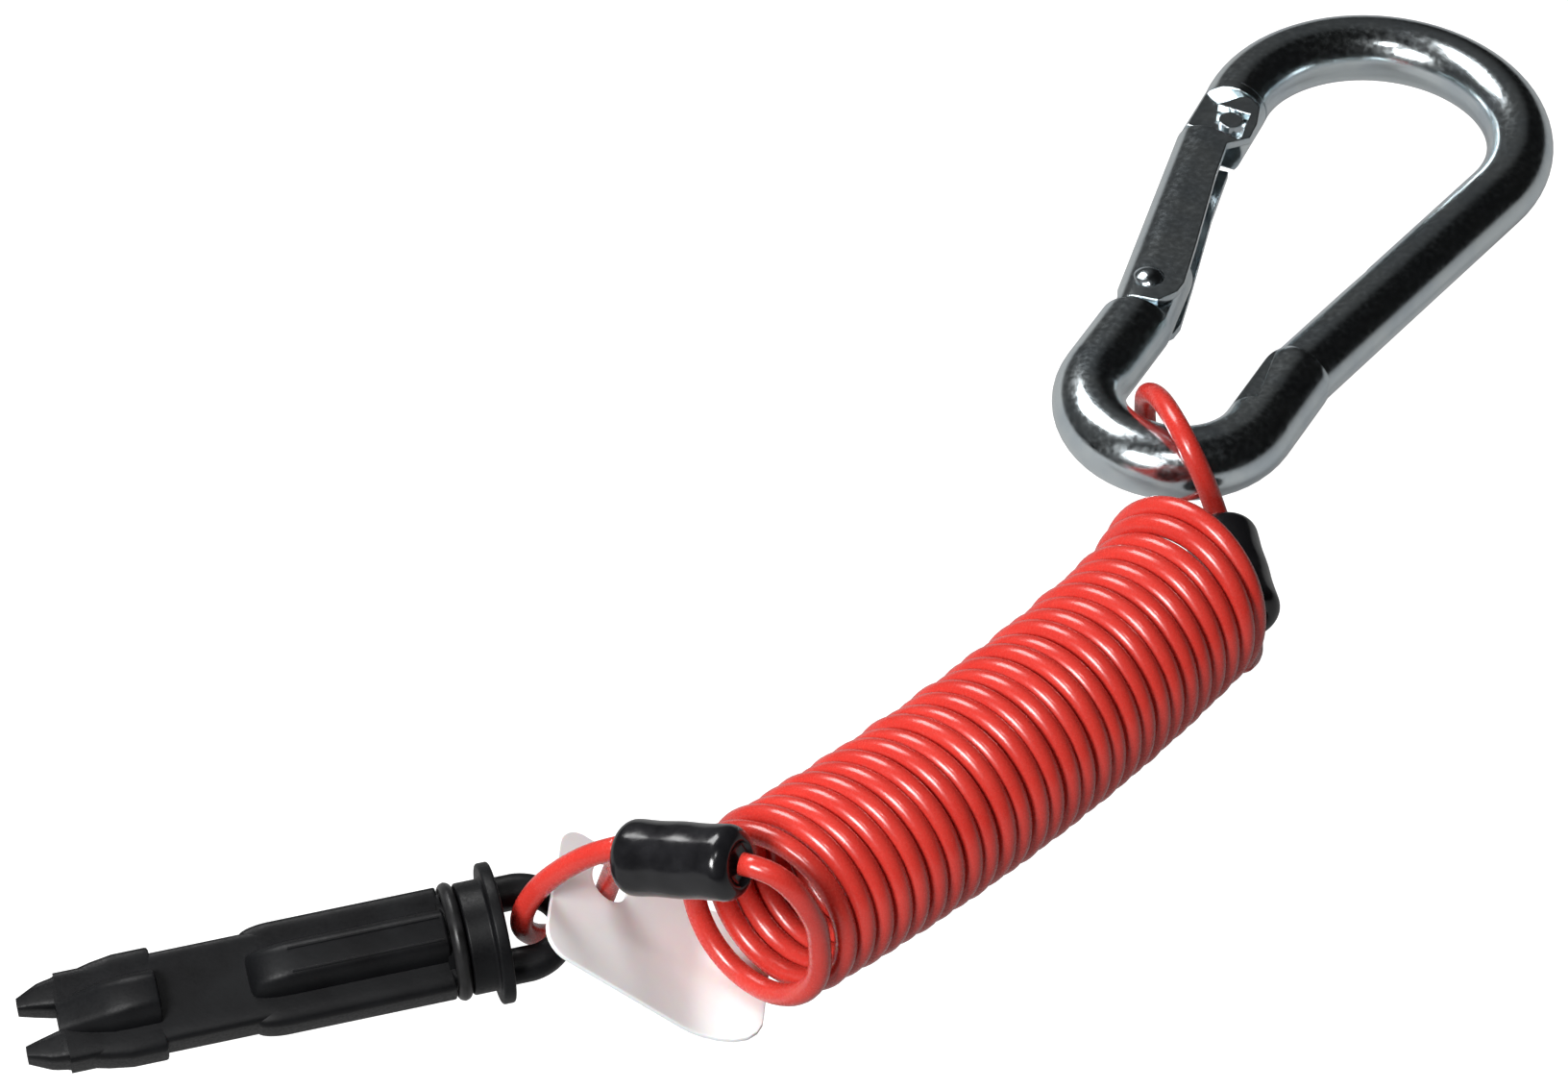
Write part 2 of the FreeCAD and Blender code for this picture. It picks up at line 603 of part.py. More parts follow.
def build_pull_pin():
    """The moulded pin: pull loop, stop flange, collar, ribbed barrel, waist and forked nose."""
    turn = Rotation(Vector(0, 1, 0), 90)
    flange = cylinder("flange", "Sizes.flange_radius", "Sizes.flange_thickness",
                      Placement(Vector(-size("flange_thickness") / 2, 0, 0), turn))
    collar = cylinder("collar", "Sizes.collar_radius", "Sizes.flange_thickness / 2 + Sizes.collar_length",
                      Placement(Vector(0, 0, 0), turn))
    groove_end = size("rear_start") + 0.2
    hub = cylinder("ring_groove", "Sizes.collar_radius - Sizes.ring_wire", "Sizes.rear_start + 0.2",
                   Placement(Vector(0, 0, 0), turn))
    core_wide = size("core_width") / 2
    thin = size("core_thickness") / 2
    lobe = size("lobe_width") / 2
    reach = size("pin_reach")
    core = box("core", "Sizes.pin_reach - Sizes.fork_depth - 1 - Sizes.rear_start", "Sizes.core_width",
               "Sizes.core_thickness", Placement(Vector(groove_end - 0.2, -core_wide, -thin), Rotation()))
    half_rib = size("rib_width") / 2
    half_high = size("rib_height") / 2
    rear = (size("rear_start"), size("rear_end"))
    nose_outline = [
        (size("nose_start"), -lobe), (reach - 10.5, -lobe), (reach - 6.0, -lobe + 0.9),
        (reach - 4.2, -lobe + 1.0), (reach, -lobe + 2.2),
    ]
    nose = outline(nose_outline + [(x, -y) for x, y in reversed(nose_outline)], 2 * thin, -thin)
    crest_outline = [
        (size("nose_start"), -half_high), (reach - 10.0, -half_high + 0.5), (reach - 5.0, -thin - 0.5),
        (reach - 2.8, -thin + 0.2),
    ]
    crest = outline(crest_outline + [(x, -y) for x, y in reversed(crest_outline)], 2 * half_rib, -half_rib)
    crest.rotate(Vector(), Vector(1, 0, 0), 90)
    barrel = fuse("barrel_blank", [
        core,
        ramped_rib("face_ribs", rear[0], rear[1], 2.2, half_rib, half_high, False),
        ramped_rib("edge_ribs", rear[0], rear[1], 1.6, thin, lobe, True),
        shaped("nose_plate", nose),
        shaped("nose_ribs", crest),
    ])
    bore = cylinder("barrel_round", "Sizes.collar_radius - 0.05", "Sizes.pin_reach",
                    Placement(Vector(0, 0, 0), turn))
    rounded = document.addObject("Part::Common", "barrel")
    rounded.Base = barrel
    rounded.Tool = bore
    fork = outline([
        (reach - size("fork_depth"), -size("fork_width") / 2), (reach + 1, -size("fork_width")),
        (reach + 1, size("fork_width")), (reach - size("fork_depth"), size("fork_width") / 2),
    ], 4 * half_high, -2 * half_high)
    blank = fuse("pin_blank", [flange, collar, hub, rounded, pull_loop()])
    solid = cut("pin_solid", blank, shaped("fork_notch", fork))
    finish("pull_pin", solid, pin_place())


def pull_loop():
    """The D-shaped loop behind the flange, with a slot for the cable."""
    half = size("loop_width") / 2
    reach = size("loop_reach")
    thick = size("loop_thickness")
    straight = 3.0
    steps = 24
    points = [(0, -half), (-straight, -half)]
    for step in range(1, steps):
        angle = math.pi * step / steps
        points.append((-straight - (reach - straight) * math.sin(angle), -half * math.cos(angle)))
    points += [(-straight, half), (0, half)]
    plate = outline(points, thick, -thick / 2)
    slot_half = size("loop_hole_width") / 2
    slot_start = -size("flange_thickness") / 2 - 0.5
    slot_end = slot_start - size("loop_hole_length")
    slot = outline([
        (slot_start, -slot_half), (slot_end, -slot_half), (slot_end, slot_half), (slot_start, slot_half),
    ], 2 * thick, -thick)
    slot = slot.makeFillet(1.2, [edge for edge in slot.Edges if abs(edge.Length - 2 * thick) < 1e-6])
    return shaped("pull_loop", plate.cut(slot))


def build_pin_ring():
    """The rubber ring in its groove between the collar and the ribs."""
    ring = document.addObject("Part::Torus", "ring_solid")
    bind(ring, Radius1="Sizes.collar_radius - Sizes.ring_wire / 2", Radius2="Sizes.ring_wire / 2")
    middle = (size("flange_thickness") / 2 + size("collar_length") + size("rear_start")) / 2
    place = Placement(Vector(middle, 0, 0), Rotation(Vector(0, 1, 0), 90))
    finish("pin_o_ring", ring, pin_place().multiply(place))


def check_everything():
    """Stop unless every object is sound and every sub-part is a valid solid."""
    for item in document.Objects:
        if "Invalid" in item.State or "Error" in item.State:
            raise RuntimeError("%s is in state %s" % (item.Name, item.State))
    for name, item in finished.items():
        if item.Shape.isNull() or not item.Shape.isValid():
            raise RuntimeError("%s has no valid shape" % name)
        if not item.Shape.Solids:
            raise RuntimeError("%s holds no solid" % name)


def write_parts():
    """Write each sub-part to a STEP file named after it."""
    os.makedirs("parts", exist_ok=True)
    for name, item in finished.items():
        item.Shape.exportStep("parts/%s.step" % name)
        box_of = item.Shape.BoundBox
        print("%s: %d solid(s), %.1f mm3, x %.1f..%.1f y %.1f..%.1f z %.2f..%.2f" % (
            name, len(item.Shape.Solids), item.Shape.Volume, box_of.XMin, box_of.XMax, box_of.YMin, box_of.YMax,
            box_of.ZMin, box_of.ZMax))


fill_sheet()
build_hook_body()
build_gate()
build_rivet()
build_plunger_and_spring()
build_coil()
build_cable("cable_eye_hook", HOOK_EYE_ROUTE)
build_cable("cable_lead_hook", HOOK_LEAD_ROUTE)
build_cable("cable_lead_pin", PIN_LEAD_ROUTE)
build_cable("cable_eye_pin", PIN_EYE_ROUTE)
build_sleeve_pair("hook", HOOK_SLEEVE_TOP, polar(1, HOOK_SLEEVE_HEADING))
build_sleeve_pair("pin", PIN_SLEEVE_LEFT, PIN_SLEEVE_DIRECTION)
build_tag()
build_pull_pin()
build_pin_ring()
document.recompute()
check_everything()
write_parts()
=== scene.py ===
"""Looks of a curly safety lanyard: snap hook, red coiled cable, crimp sleeves, tag and pull pin."""

import logging
import math
from dataclasses import dataclass, field
from enum import Enum

import bpy
import numpy as np
from mathutils import Euler, Matrix, Vector


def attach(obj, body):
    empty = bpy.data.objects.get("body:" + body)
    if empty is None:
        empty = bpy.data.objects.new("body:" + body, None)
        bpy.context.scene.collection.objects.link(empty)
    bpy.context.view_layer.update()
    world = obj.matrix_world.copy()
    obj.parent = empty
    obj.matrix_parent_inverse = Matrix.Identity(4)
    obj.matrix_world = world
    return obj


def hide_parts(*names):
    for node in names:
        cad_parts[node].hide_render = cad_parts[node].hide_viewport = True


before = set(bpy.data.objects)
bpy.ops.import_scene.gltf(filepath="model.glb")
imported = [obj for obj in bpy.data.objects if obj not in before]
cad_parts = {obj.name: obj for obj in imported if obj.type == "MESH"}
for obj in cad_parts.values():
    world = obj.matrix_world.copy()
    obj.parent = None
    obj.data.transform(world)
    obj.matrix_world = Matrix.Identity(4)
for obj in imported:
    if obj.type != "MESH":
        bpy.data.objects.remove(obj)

log = logging.getLogger("lanyard")

MM = 0.001
CABLE_WIDTH = 2.5
COIL_LINE_RADIUS = 9.65
SAME_POINT = 1e-6
NOISE_LOW = 0.3
NOISE_HIGH = 0.7

HOOK_EYE_ROUTE = [
    (12.1, -44.9, 5.7),
    (10.7, -43.7, 6.9),
    (9.4, -43.5, 9.8),
    (7.4, -43.0, 12.9),
    (4.2, -40.8, 14.6),
    (0.3, -37.0, 13.6),
    (-2.7, -33.9, 10.4),
    (-3.5, -32.4, 6.6),
    (-2.4, -33.9, 3.0),
    (0.5, -37.5, 1.6),
    (4.9, -41.1, 1.5),
    (8.6, -43.1, 1.9),
    (10.9, -43.8, 2.4),
    (12.1, -44.9, 2.9),
]
PIN_EYE_ROUTE = [
    (-16.1, -134.3, 22.8),
    (-18.5, -135.1, 21.6),
    (-21.7, -136.1, 18.6),
    (-24.3, -137.2, 15.4),
    (-26.0, -138.1, 11.6),
    (-26.6, -137.7, 7.6),
    (-25.5, -134.9, 4.2),
    (-23.4, -131.6, 3.7),
    (-21.6, -129.2, 5.8),
    (-20.8, -128.4, 9.4),
    (-19.2, -130.0, 13.8),
    (-17.2, -132.6, 17.8),
    (-15.2, -134.1, 20.3),
]
PIN_LEAD_ROUTE = [
    (-2.0, -133.3, 26.5),
    (1.1, -133.1, 27.0),
    (3.9, -132.1, 24.0),
    (5.2, -131.3, 20.4),
    (5.6, -130.5, 17.4),
]
HOOK_LEAD_ROUTE = [
    (24.32, -64.1, 6.4),
    (23.92, -61.1, 4.9),
    (22.52, -58.3, 4.3),
    (20.99, -56.25, 4.3),
]


class Slot(Enum):
    """The record's material slots, one for each kind of new piece."""

    JACKET = "red_jacket"
    SLEEVE = "black_sleeve"
    TAG = "tag_sheet"
    NYLON = "black_nylon"
    RUBBER = "black_rubber"


# ---------------------------------------------------------------- finishes


class Graph:
    """A material's node tree with its shader at hand."""

    def __init__(self, name: str) -> None:
        """Start an empty material.

        Args:
            name: the material's name.
        """
        self.material = bpy.data.materials.new(name)
        self.material.use_nodes = True
        self.tree = self.material.node_tree
        self.shader = self.tree.nodes["Principled BSDF"]
        self.place = self.tree.nodes.new("ShaderNodeTexCoord")

    def node(self, kind: str, **values: object) -> bpy.types.Node:
        """Add a node and set its properties or sockets by name.

        Args:
            kind: the node's type.
            values: properties, or socket defaults with spaces written as underscores.

        Returns:
            The new node.
        """
        made = self.tree.nodes.new(kind)
        for key, value in values.items():
            if hasattr(made, key):
                setattr(made, key, value)
            else:
                made.inputs[key.replace("_", " ")].default_value = value
        return made

    def link(self, source: bpy.types.NodeSocket, target: bpy.types.NodeSocket) -> None:
        """Join two sockets."""
        self.tree.links.new(source, target)

    def feed(self, socket: str, source: bpy.types.NodeSocket) -> None:
        """Join a source to one of the shader's sockets."""
        self.link(source, self.shader.inputs[socket])

    def noise(
        self, scale: float, detail: float = 3.0, stretch: tuple = (1.0, 1.0, 1.0)
    ) -> bpy.types.NodeSocket:
        """Noise on the piece's own Object coordinates.

        Args:
            scale: cells per metre.
            detail: octaves.
            stretch: how much each axis is squeezed.

        Returns:
            The noise's factor socket.
        """
        mapping = self.node("ShaderNodeMapping")
        mapping.inputs["Scale"].default_value = stretch
        self.link(self.place.outputs["Object"], mapping.inputs["Vector"])
        made = self.node("ShaderNodeTexNoise", Scale=scale, Detail=detail)
        self.link(mapping.outputs["Vector"], made.inputs["Vector"])
        return made.outputs["Fac"]

    def ramp(
        self,
        source: bpy.types.NodeSocket,
        low: tuple,
        high: tuple,
        start: float = NOISE_LOW,
        end: float = NOISE_HIGH,
    ) -> bpy.types.NodeSocket:
        """Turn a factor into a colour between two colours.

        Args:
            source: the factor.
            low: colour at and under start.
            high: colour at and over end.
            start: factor where the blend starts.
            end: factor where it ends.

        Returns:
            The colour socket.
        """
        made = self.node("ShaderNodeValToRGB")
        made.color_ramp.elements[0].position = start
        made.color_ramp.elements[0].color = (*low, 1.0)
        made.color_ramp.elements[1].position = end
        made.color_ramp.elements[1].color = (*high, 1.0)
        self.link(source, made.inputs["Fac"])
        return made.outputs["Color"]

    def span(self, source: bpy.types.NodeSocket, low: float, high: float) -> bpy.types.NodeSocket:
        """Map a noise factor to a range of values.

        Args:
            source: the factor.
            low: value at the factor's usual low.
            high: value at its usual high.

        Returns:
            The value socket.
        """
        made = self.node("ShaderNodeMapRange")
        made.inputs["From Min"].default_value = NOISE_LOW
        made.inputs["From Max"].default_value = NOISE_HIGH
        made.inputs["To Min"].default_value = low
        made.inputs["To Max"].default_value = high
        self.link(source, made.inputs["Value"])
        return made.outputs["Result"]

    def bump(
        self, height: bpy.types.NodeSocket, depth: float, under: bpy.types.NodeSocket | None = None
    ) -> bpy.types.NodeSocket:
        """Add a bump of a real depth.

        Args:
            height: the height factor.
            depth: metres between factors 0 and 1.
            under: a normal that it adds to.

        Returns:
            The normal socket.
        """
        made = self.node("ShaderNodeBump")
        made.inputs["Distance"].default_value = depth
        made.inputs["Strength"].default_value = 1.0
        self.link(height, made.inputs["Height"])
        if under is not None:
            self.link(under, made.inputs["Normal"])
        return made.outputs["Normal"]

    def rounded(self, radius: float) -> bpy.types.NodeSocket:
        """Soften sharp edges in the shading.

        Args:
            radius: metres.

        Returns:
            The normal socket.
        """
        made = self.node("ShaderNodeBevel", samples=4)
        made.inputs["Radius"].default_value = radius
        return made.outputs["Normal"]

    def set(self, **values: object) -> None:
        """Set the shader's own sockets, with spaces written as underscores."""
        for key, value in values.items():
            self.shader.inputs[key.replace("_", " ")].default_value = value


@dataclass(frozen=True)
class Finish:
    """A finish: mottle tints it, a grain roughens it, and a slow swell and the grain bend it.

    Each noise is its scale in cells per metre, its octaves and, where it has one, its stretch.
    """

    name: str
    deep: tuple
    pale: tuple
    mottle: tuple
    grain: tuple
    roughness: tuple
    mottle_span: tuple = (NOISE_LOW, NOISE_HIGH)
    edge: float = 0.0
    swell: tuple = ()
    swell_depth: float = 0.0
    grain_depth: float = 0.0
    gloss: tuple = ()

    def build(self) -> bpy.types.Material:
        """Make the material.

        Returns:
            The material.
        """
        graph = Graph(self.name)
        mottle = graph.noise(*self.mottle)
        graph.feed("Base Color", graph.ramp(mottle, self.deep, self.pale, *self.mottle_span))
        grain = graph.noise(*self.grain)
        graph.feed("Roughness", graph.span(grain, *self.roughness))
        normal = graph.rounded(self.edge) if self.edge else None
        if self.swell:
            normal = graph.bump(graph.noise(*self.swell), self.swell_depth, normal)
        if self.grain_depth:
            normal = graph.bump(grain, self.grain_depth, normal)
        if normal is not None:
            graph.feed("Normal", normal)
        graph.set(**dict(self.gloss))
        return graph.material


@dataclass(frozen=True)
class BrightPlate(Finish):
    """Zinc plate over steel: a mirror with faint clouds, fine pits and a cool cast."""

    name: str = "bright_plate"
    deep: tuple = (0.68, 0.76, 0.81)
    pale: tuple = (0.81, 0.88, 0.90)
    mottle: tuple = (170.0, 5.0)
    mottle_span: tuple = (0.35, 0.6)
    grain: tuple = (1500.0, 4.0)
    roughness: tuple = (0.13, 0.24)
    edge: float = 0.0003
    swell: tuple = (140.0, 2.0)
    swell_depth: float = 0.00003
    grain_depth: float = 0.0000015
    gloss: tuple = (("Metallic", 1.0),)


@dataclass(frozen=True)
class SpringWire(Finish):
    """Drawn spring steel, a little darker and duller than the plate."""

    name: str = "spring_wire"
    deep: tuple = (0.40, 0.41, 0.42)
    pale: tuple = (0.62, 0.62, 0.60)
    mottle: tuple = (900.0, 3.0, (1.0, 0.2, 1.0))
    grain: tuple = (900.0, 3.0, (1.0, 0.2, 1.0))
    roughness: tuple = (0.22, 0.4)
    gloss: tuple = (("Metallic", 1.0),)


@dataclass(frozen=True)
class CrimpMetal(Finish):
    """Soft grey crimp metal under the sleeves."""

    name: str = "crimp_metal_finish"
    deep: tuple = (0.38, 0.38, 0.38)
    pale: tuple = (0.58, 0.58, 0.57)
    mottle: tuple = (700.0, 4.0)
    grain: tuple = (700.0, 4.0)
    roughness: tuple = (0.35, 0.55)
    gloss: tuple = (("Metallic", 1.0),)


@dataclass(frozen=True)
class RedJacket(Finish):
    """Smooth red vinyl over the cable, with a soft gloss and slight unevenness."""

    name: str = "red_vinyl"
    deep: tuple = (0.60, 0.037, 0.027)
    pale: tuple = (0.66, 0.048, 0.035)
    mottle: tuple = (160.0, 2.0)
    grain: tuple = (2600.0, 3.0)
    roughness: tuple = (0.22, 0.31)
    swell: tuple = (300.0, 2.0)
    swell_depth: float = 0.00003
    grain_depth: float = 0.000002
    gloss: tuple = (
        ("Subsurface_Weight", 0.12),
        ("Subsurface_Scale", 0.0012),
        ("Subsurface_Radius", (1.0, 0.2, 0.15)),
        ("Coat_Weight", 0.25),
        ("Coat_Roughness", 0.16),
    )


@dataclass(frozen=True)
class DippedBlack(Finish):
    """Glossy black dipped vinyl of the sleeves, faintly orange-peeled."""

    name: str = "dipped_black"
    deep: tuple = (0.006, 0.006, 0.007)
    pale: tuple = (0.016, 0.016, 0.018)
    mottle: tuple = (300.0, 3.0)
    grain: tuple = (1200.0, 3.0)
    roughness: tuple = (0.14, 0.22)
    swell: tuple = (260.0, 2.0)
    swell_depth: float = 0.00006


@dataclass(frozen=True)
class FrostedSheet(Finish):
    """Pale milky plastic sheet of the tag, a little translucent, with faint scuffs."""

    name: str = "frosted_sheet"
    deep: tuple = (0.87, 0.875, 0.88)
    pale: tuple = (0.93, 0.93, 0.93)
    mottle: tuple = (90.0, 4.0)
    grain: tuple = (900.0, 4.0, (0.15, 1.0, 1.0))
    roughness: tuple = (0.38, 0.55)
    grain_depth: float = 0.00001
    gloss: tuple = (("Subsurface_Weight", 0.2), ("Subsurface_Scale", 0.002))


@dataclass(frozen=True)
class MattNylon(Finish):
    """Moulded black nylon: dark, softly sheened, with a fine moulded grain."""

    name: str = "matt_nylon"
    deep: tuple = (0.003, 0.003, 0.0035)
    pale: tuple = (0.008, 0.0085, 0.0095)
    mottle: tuple = (150.0, 5.0)
    mottle_span: tuple = (0.35, 0.75)
    grain: tuple = (3200.0, 3.0)
    roughness: tuple = (0.38, 0.52)
    swell: tuple = (320.0, 3.0, (0.3, 1.0, 1.0))
    swell_depth: float = 0.00005
    grain_depth: float = 0.000012
    gloss: tuple = (("Specular_IOR_Level", 0.16),)


@dataclass(frozen=True)
class SoftRubber(Finish):
    """Black rubber of the sealing ring, with a satin skin."""

    name: str = "soft_rubber"
    deep: tuple = (0.008, 0.008, 0.008)
    pale: tuple = (0.020, 0.020, 0.021)
    mottle: tuple = (500.0, 4.0)
    grain: tuple = (500.0, 4.0)
    roughness: tuple = (0.3, 0.45)
    gloss: tuple = (("Specular_IOR_Level", 0.25),)


@dataclass(frozen=True)
class PaleTable:
    """The plain pale floor, evenly lit from below as on a light table."""

    name: str = "pale_table"
    colour: tuple = (0.26, 0.26, 0.26)
    faint: tuple = (0.29, 0.29, 0.29)
    patch_scale: float = 6.0
    glow: float = 1.0
    glow_on_pieces: float = 0.10

    def build(self) -> bpy.types.Material:
        """The table glows fully for the eye and faintly on the pieces.

        Returns:
            The material.
        """
        graph = Graph(self.name)
        graph.feed("Base Color", graph.ramp(graph.noise(self.patch_scale, 2.0), self.colour, self.faint))
        graph.set(Roughness=0.9, Specular_IOR_Level=0.05, Emission_Color=(1.0, 1.0, 1.0, 1.0))
        seen = graph.node("ShaderNodeLightPath")
        lit = graph.node("ShaderNodeMapRange")
        lit.inputs["To Min"].default_value = self.glow_on_pieces
        lit.inputs["To Max"].default_value = self.glow
        graph.link(seen.outputs["Is Camera Ray"], lit.inputs["Value"])
        graph.feed("Emission Strength", lit.outputs["Result"])
        return graph.material


# ---------------------------------------------------------------- surfaces


def unit(vectors: np.ndarray) -> np.ndarray:
    """Scale each row to length one."""
    return vectors / np.linalg.norm(vectors, axis=-1, keepdims=True)


def grid_faces(rows: int, columns: int, wrap: bool) -> np.ndarray:
    """Quads over a grid of points, row after row.

    Args:
        rows: count of rows.
        columns: count of points in a row.
        wrap: whether a row closes on itself.

    Returns:
        One quad per row of the array.
    """
    last = columns if wrap else columns - 1
    row = np.arange(rows - 1)[:, None]
    column = np.arange(last)[None, :]
    after = (column + 1) % columns
    here = row * columns
    above = here + columns
    corners = [here + column, here + after, above + after, above + column]
    return np.stack([np.broadcast_to(c, (rows - 1, last)) for c in corners], -1).reshape(-1, 4)


@dataclass
class Shell:
    """Points and faces gathered before they become one mesh."""

    points: list = field(default_factory=list)
    faces: list = field(default_factory=list)
    count: int = 0

    def add_grid(self, grid: np.ndarray, wrap: bool = True, capped: bool = True) -> None:
        """Add a surface from a grid of points, with its two end rows closed by one face each.

        Args:
            grid: rows × columns × 3.
            wrap: whether a row closes on itself.
            capped: whether the end rows are closed.
        """
        rows, columns = grid.shape[:2]
        self.points.append(grid.reshape(-1, 3))
        self.faces += (grid_faces(rows, columns, wrap) + self.count).tolist()
        if capped:
            first = np.arange(columns) + self.count
            self.faces.append(first[::-1].tolist())
            self.faces.append((first + (rows - 1) * columns).tolist())
        self.count += rows * columns

    def piece(self, name: str, place: Matrix | None = None) -> bpy.types.Object:
        """Make the object, with its place in its mesh.

        Args:
            name: the piece's name.
            place: its frame, in millimetres.

        Returns:
            The new object.
        """
        points = np.concatenate(self.points)
        if place is not None:
            turn = np.array(place.to_3x3())
            points = points @ turn.T + np.array(place.translation)
        mesh = bpy.data.meshes.new(name)
        mesh.from_pydata((points * MM).tolist(), [], self.faces)
        mesh.validate()
        mesh.shade_smooth()
        mesh.update()
        made = bpy.data.objects.new(name, mesh)
        bpy.context.scene.collection.objects.link(made)
        return made


def steady_frames(line: np.ndarray) -> tuple[np.ndarray, np.ndarray]:
    """Frames along a line that don't twist about it.

    Each point first gets any side direction. The angle between one side, carried over to the next
    point's plane, and the next side is summed along the line, and turns every side back.

    Args:
        line: points × 3.

    Returns:
        The sides, and the directions square to both side and line.
    """
    tangent = unit(np.gradient(line, axis=0))
    least = np.abs(tangent).argmin(1)
    side = unit(np.cross(tangent, np.eye(3)[least]))
    third = np.cross(tangent, side)
    carried = side[:-1] - (side[:-1] * tangent[1:]).sum(1, keepdims=True) * tangent[1:]
    carried = unit(carried)
    angle = np.arctan2((carried * third[1:]).sum(1), (carried * side[1:]).sum(1))
    total = np.concatenate([[0.0], np.cumsum(angle)])[:, None]
    turned = side * np.cos(total) + third * np.sin(total)
    return turned, np.cross(tangent, turned)


def rounded_square(steps: int, power: float) -> tuple[np.ndarray, np.ndarray]:
    """A superellipse of half size one: each of cosine and sine is raised to two over the power.

    Args:
        steps: points round it.
        power: 2 is a circle, and more is squarer.

    Returns:
        The two coordinates.
    """
    angle = np.linspace(0.0, 2.0 * math.pi, steps, endpoint=False)
    across = np.sign(np.cos(angle)) * np.abs(np.cos(angle)) ** (2.0 / power)
    up = np.sign(np.sin(angle)) * np.abs(np.sin(angle)) ** (2.0 / power)
    return across, up


def dress(
    piece: bpy.types.Object, material: bpy.types.Material, slot: Slot, body: str, *nodes: str
) -> bpy.types.Object:
    """Give a new piece its material and its body, and hide the CAD nodes it stands for.

    Args:
        piece: the new piece.
        material: its finish.
        slot: not used.
        body: the CAD body it rides on.
        nodes: CAD nodes it replaces.

    Returns:
        The same piece.
    """
    piece.data.materials.append(material)
    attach(piece, body)
    if nodes:
        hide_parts(*nodes)
    log.info("%s rides on %s", piece.name, body)
    return piece


# ---------------------------------------------------------------- cable


def smooth_line(route: list[tuple[float, float, float]], resolution: int) -> np.ndarray:
    """The centreline that a NURBS spline of order 3 draws for a route.

    Args:
        route: control points, in millimetres.
        resolution: points drawn for each control point.

    Returns:
        The line's points, in millimetres.
    """
    curve = bpy.data.curves.new("line", "CURVE")
    curve.dimensions = "3D"
    curve.resolution_u = resolution
    spline = curve.splines.new("NURBS")
    spline.points.add(len(route) - 1)
    spline.points.foreach_set("co", np.array([(*p, 1.0 / MM) for p in route]).ravel() * MM)
    spline.order_u = 3
    spline.use_endpoint_u = True
    holder = bpy.data.objects.new("line", curve)
    bpy.context.scene.collection.objects.link(holder)
    bpy.context.view_layer.update()
    drawn = bpy.data.meshes.new_from_object(holder)
    line = np.empty(len(drawn.vertices) * 3)
    drawn.vertices.foreach_get("co", line)
    bpy.data.objects.remove(holder)
    bpy.data.curves.remove(curve)
    bpy.data.meshes.remove(drawn)
    line = line.reshape(-1, 3) / MM
    apart = np.linalg.norm(np.diff(line, axis=0), axis=1) > SAME_POINT
    return line[np.concatenate([[True], apart])]


@dataclass
class Cable:
    """One stretch of the jacketed cable, drawn as a round tube along its line."""

    name: str
    route: list
    nodes: tuple
    body: str = "lanyard"
    resolution: int = 10
    sides: int = 20
    stiffness: str = "stiff"
    lay: str = "loose"

    def build(self) -> tuple[bpy.types.Object, np.ndarray]:
        """A circle carried along the line on frames that don't twist.

        Returns:
            The piece, and its line in millimetres.
        """
        line = smooth_line(self.route, self.resolution)
        side, third = steady_frames(line)
        angle = np.linspace(0.0, 2.0 * math.pi, self.sides, endpoint=False)[None, :, None]
        radius = CABLE_WIDTH / 2.0
        grid = line[:, None] + radius * (np.cos(angle) * side[:, None] + np.sin(angle) * third[:, None])
        shell = Shell()
        shell.add_grid(grid)
        return shell.piece(self.name), line

    def declare(self, material: bpy.types.Material) -> bpy.types.Object:
        """Build it and dress it.

        Args:
            material: the jacket's finish.

        Returns:
            The piece.
        """
        piece, line = self.build()
        dress(piece, material, Slot.JACKET, self.body, *self.nodes)
        return piece


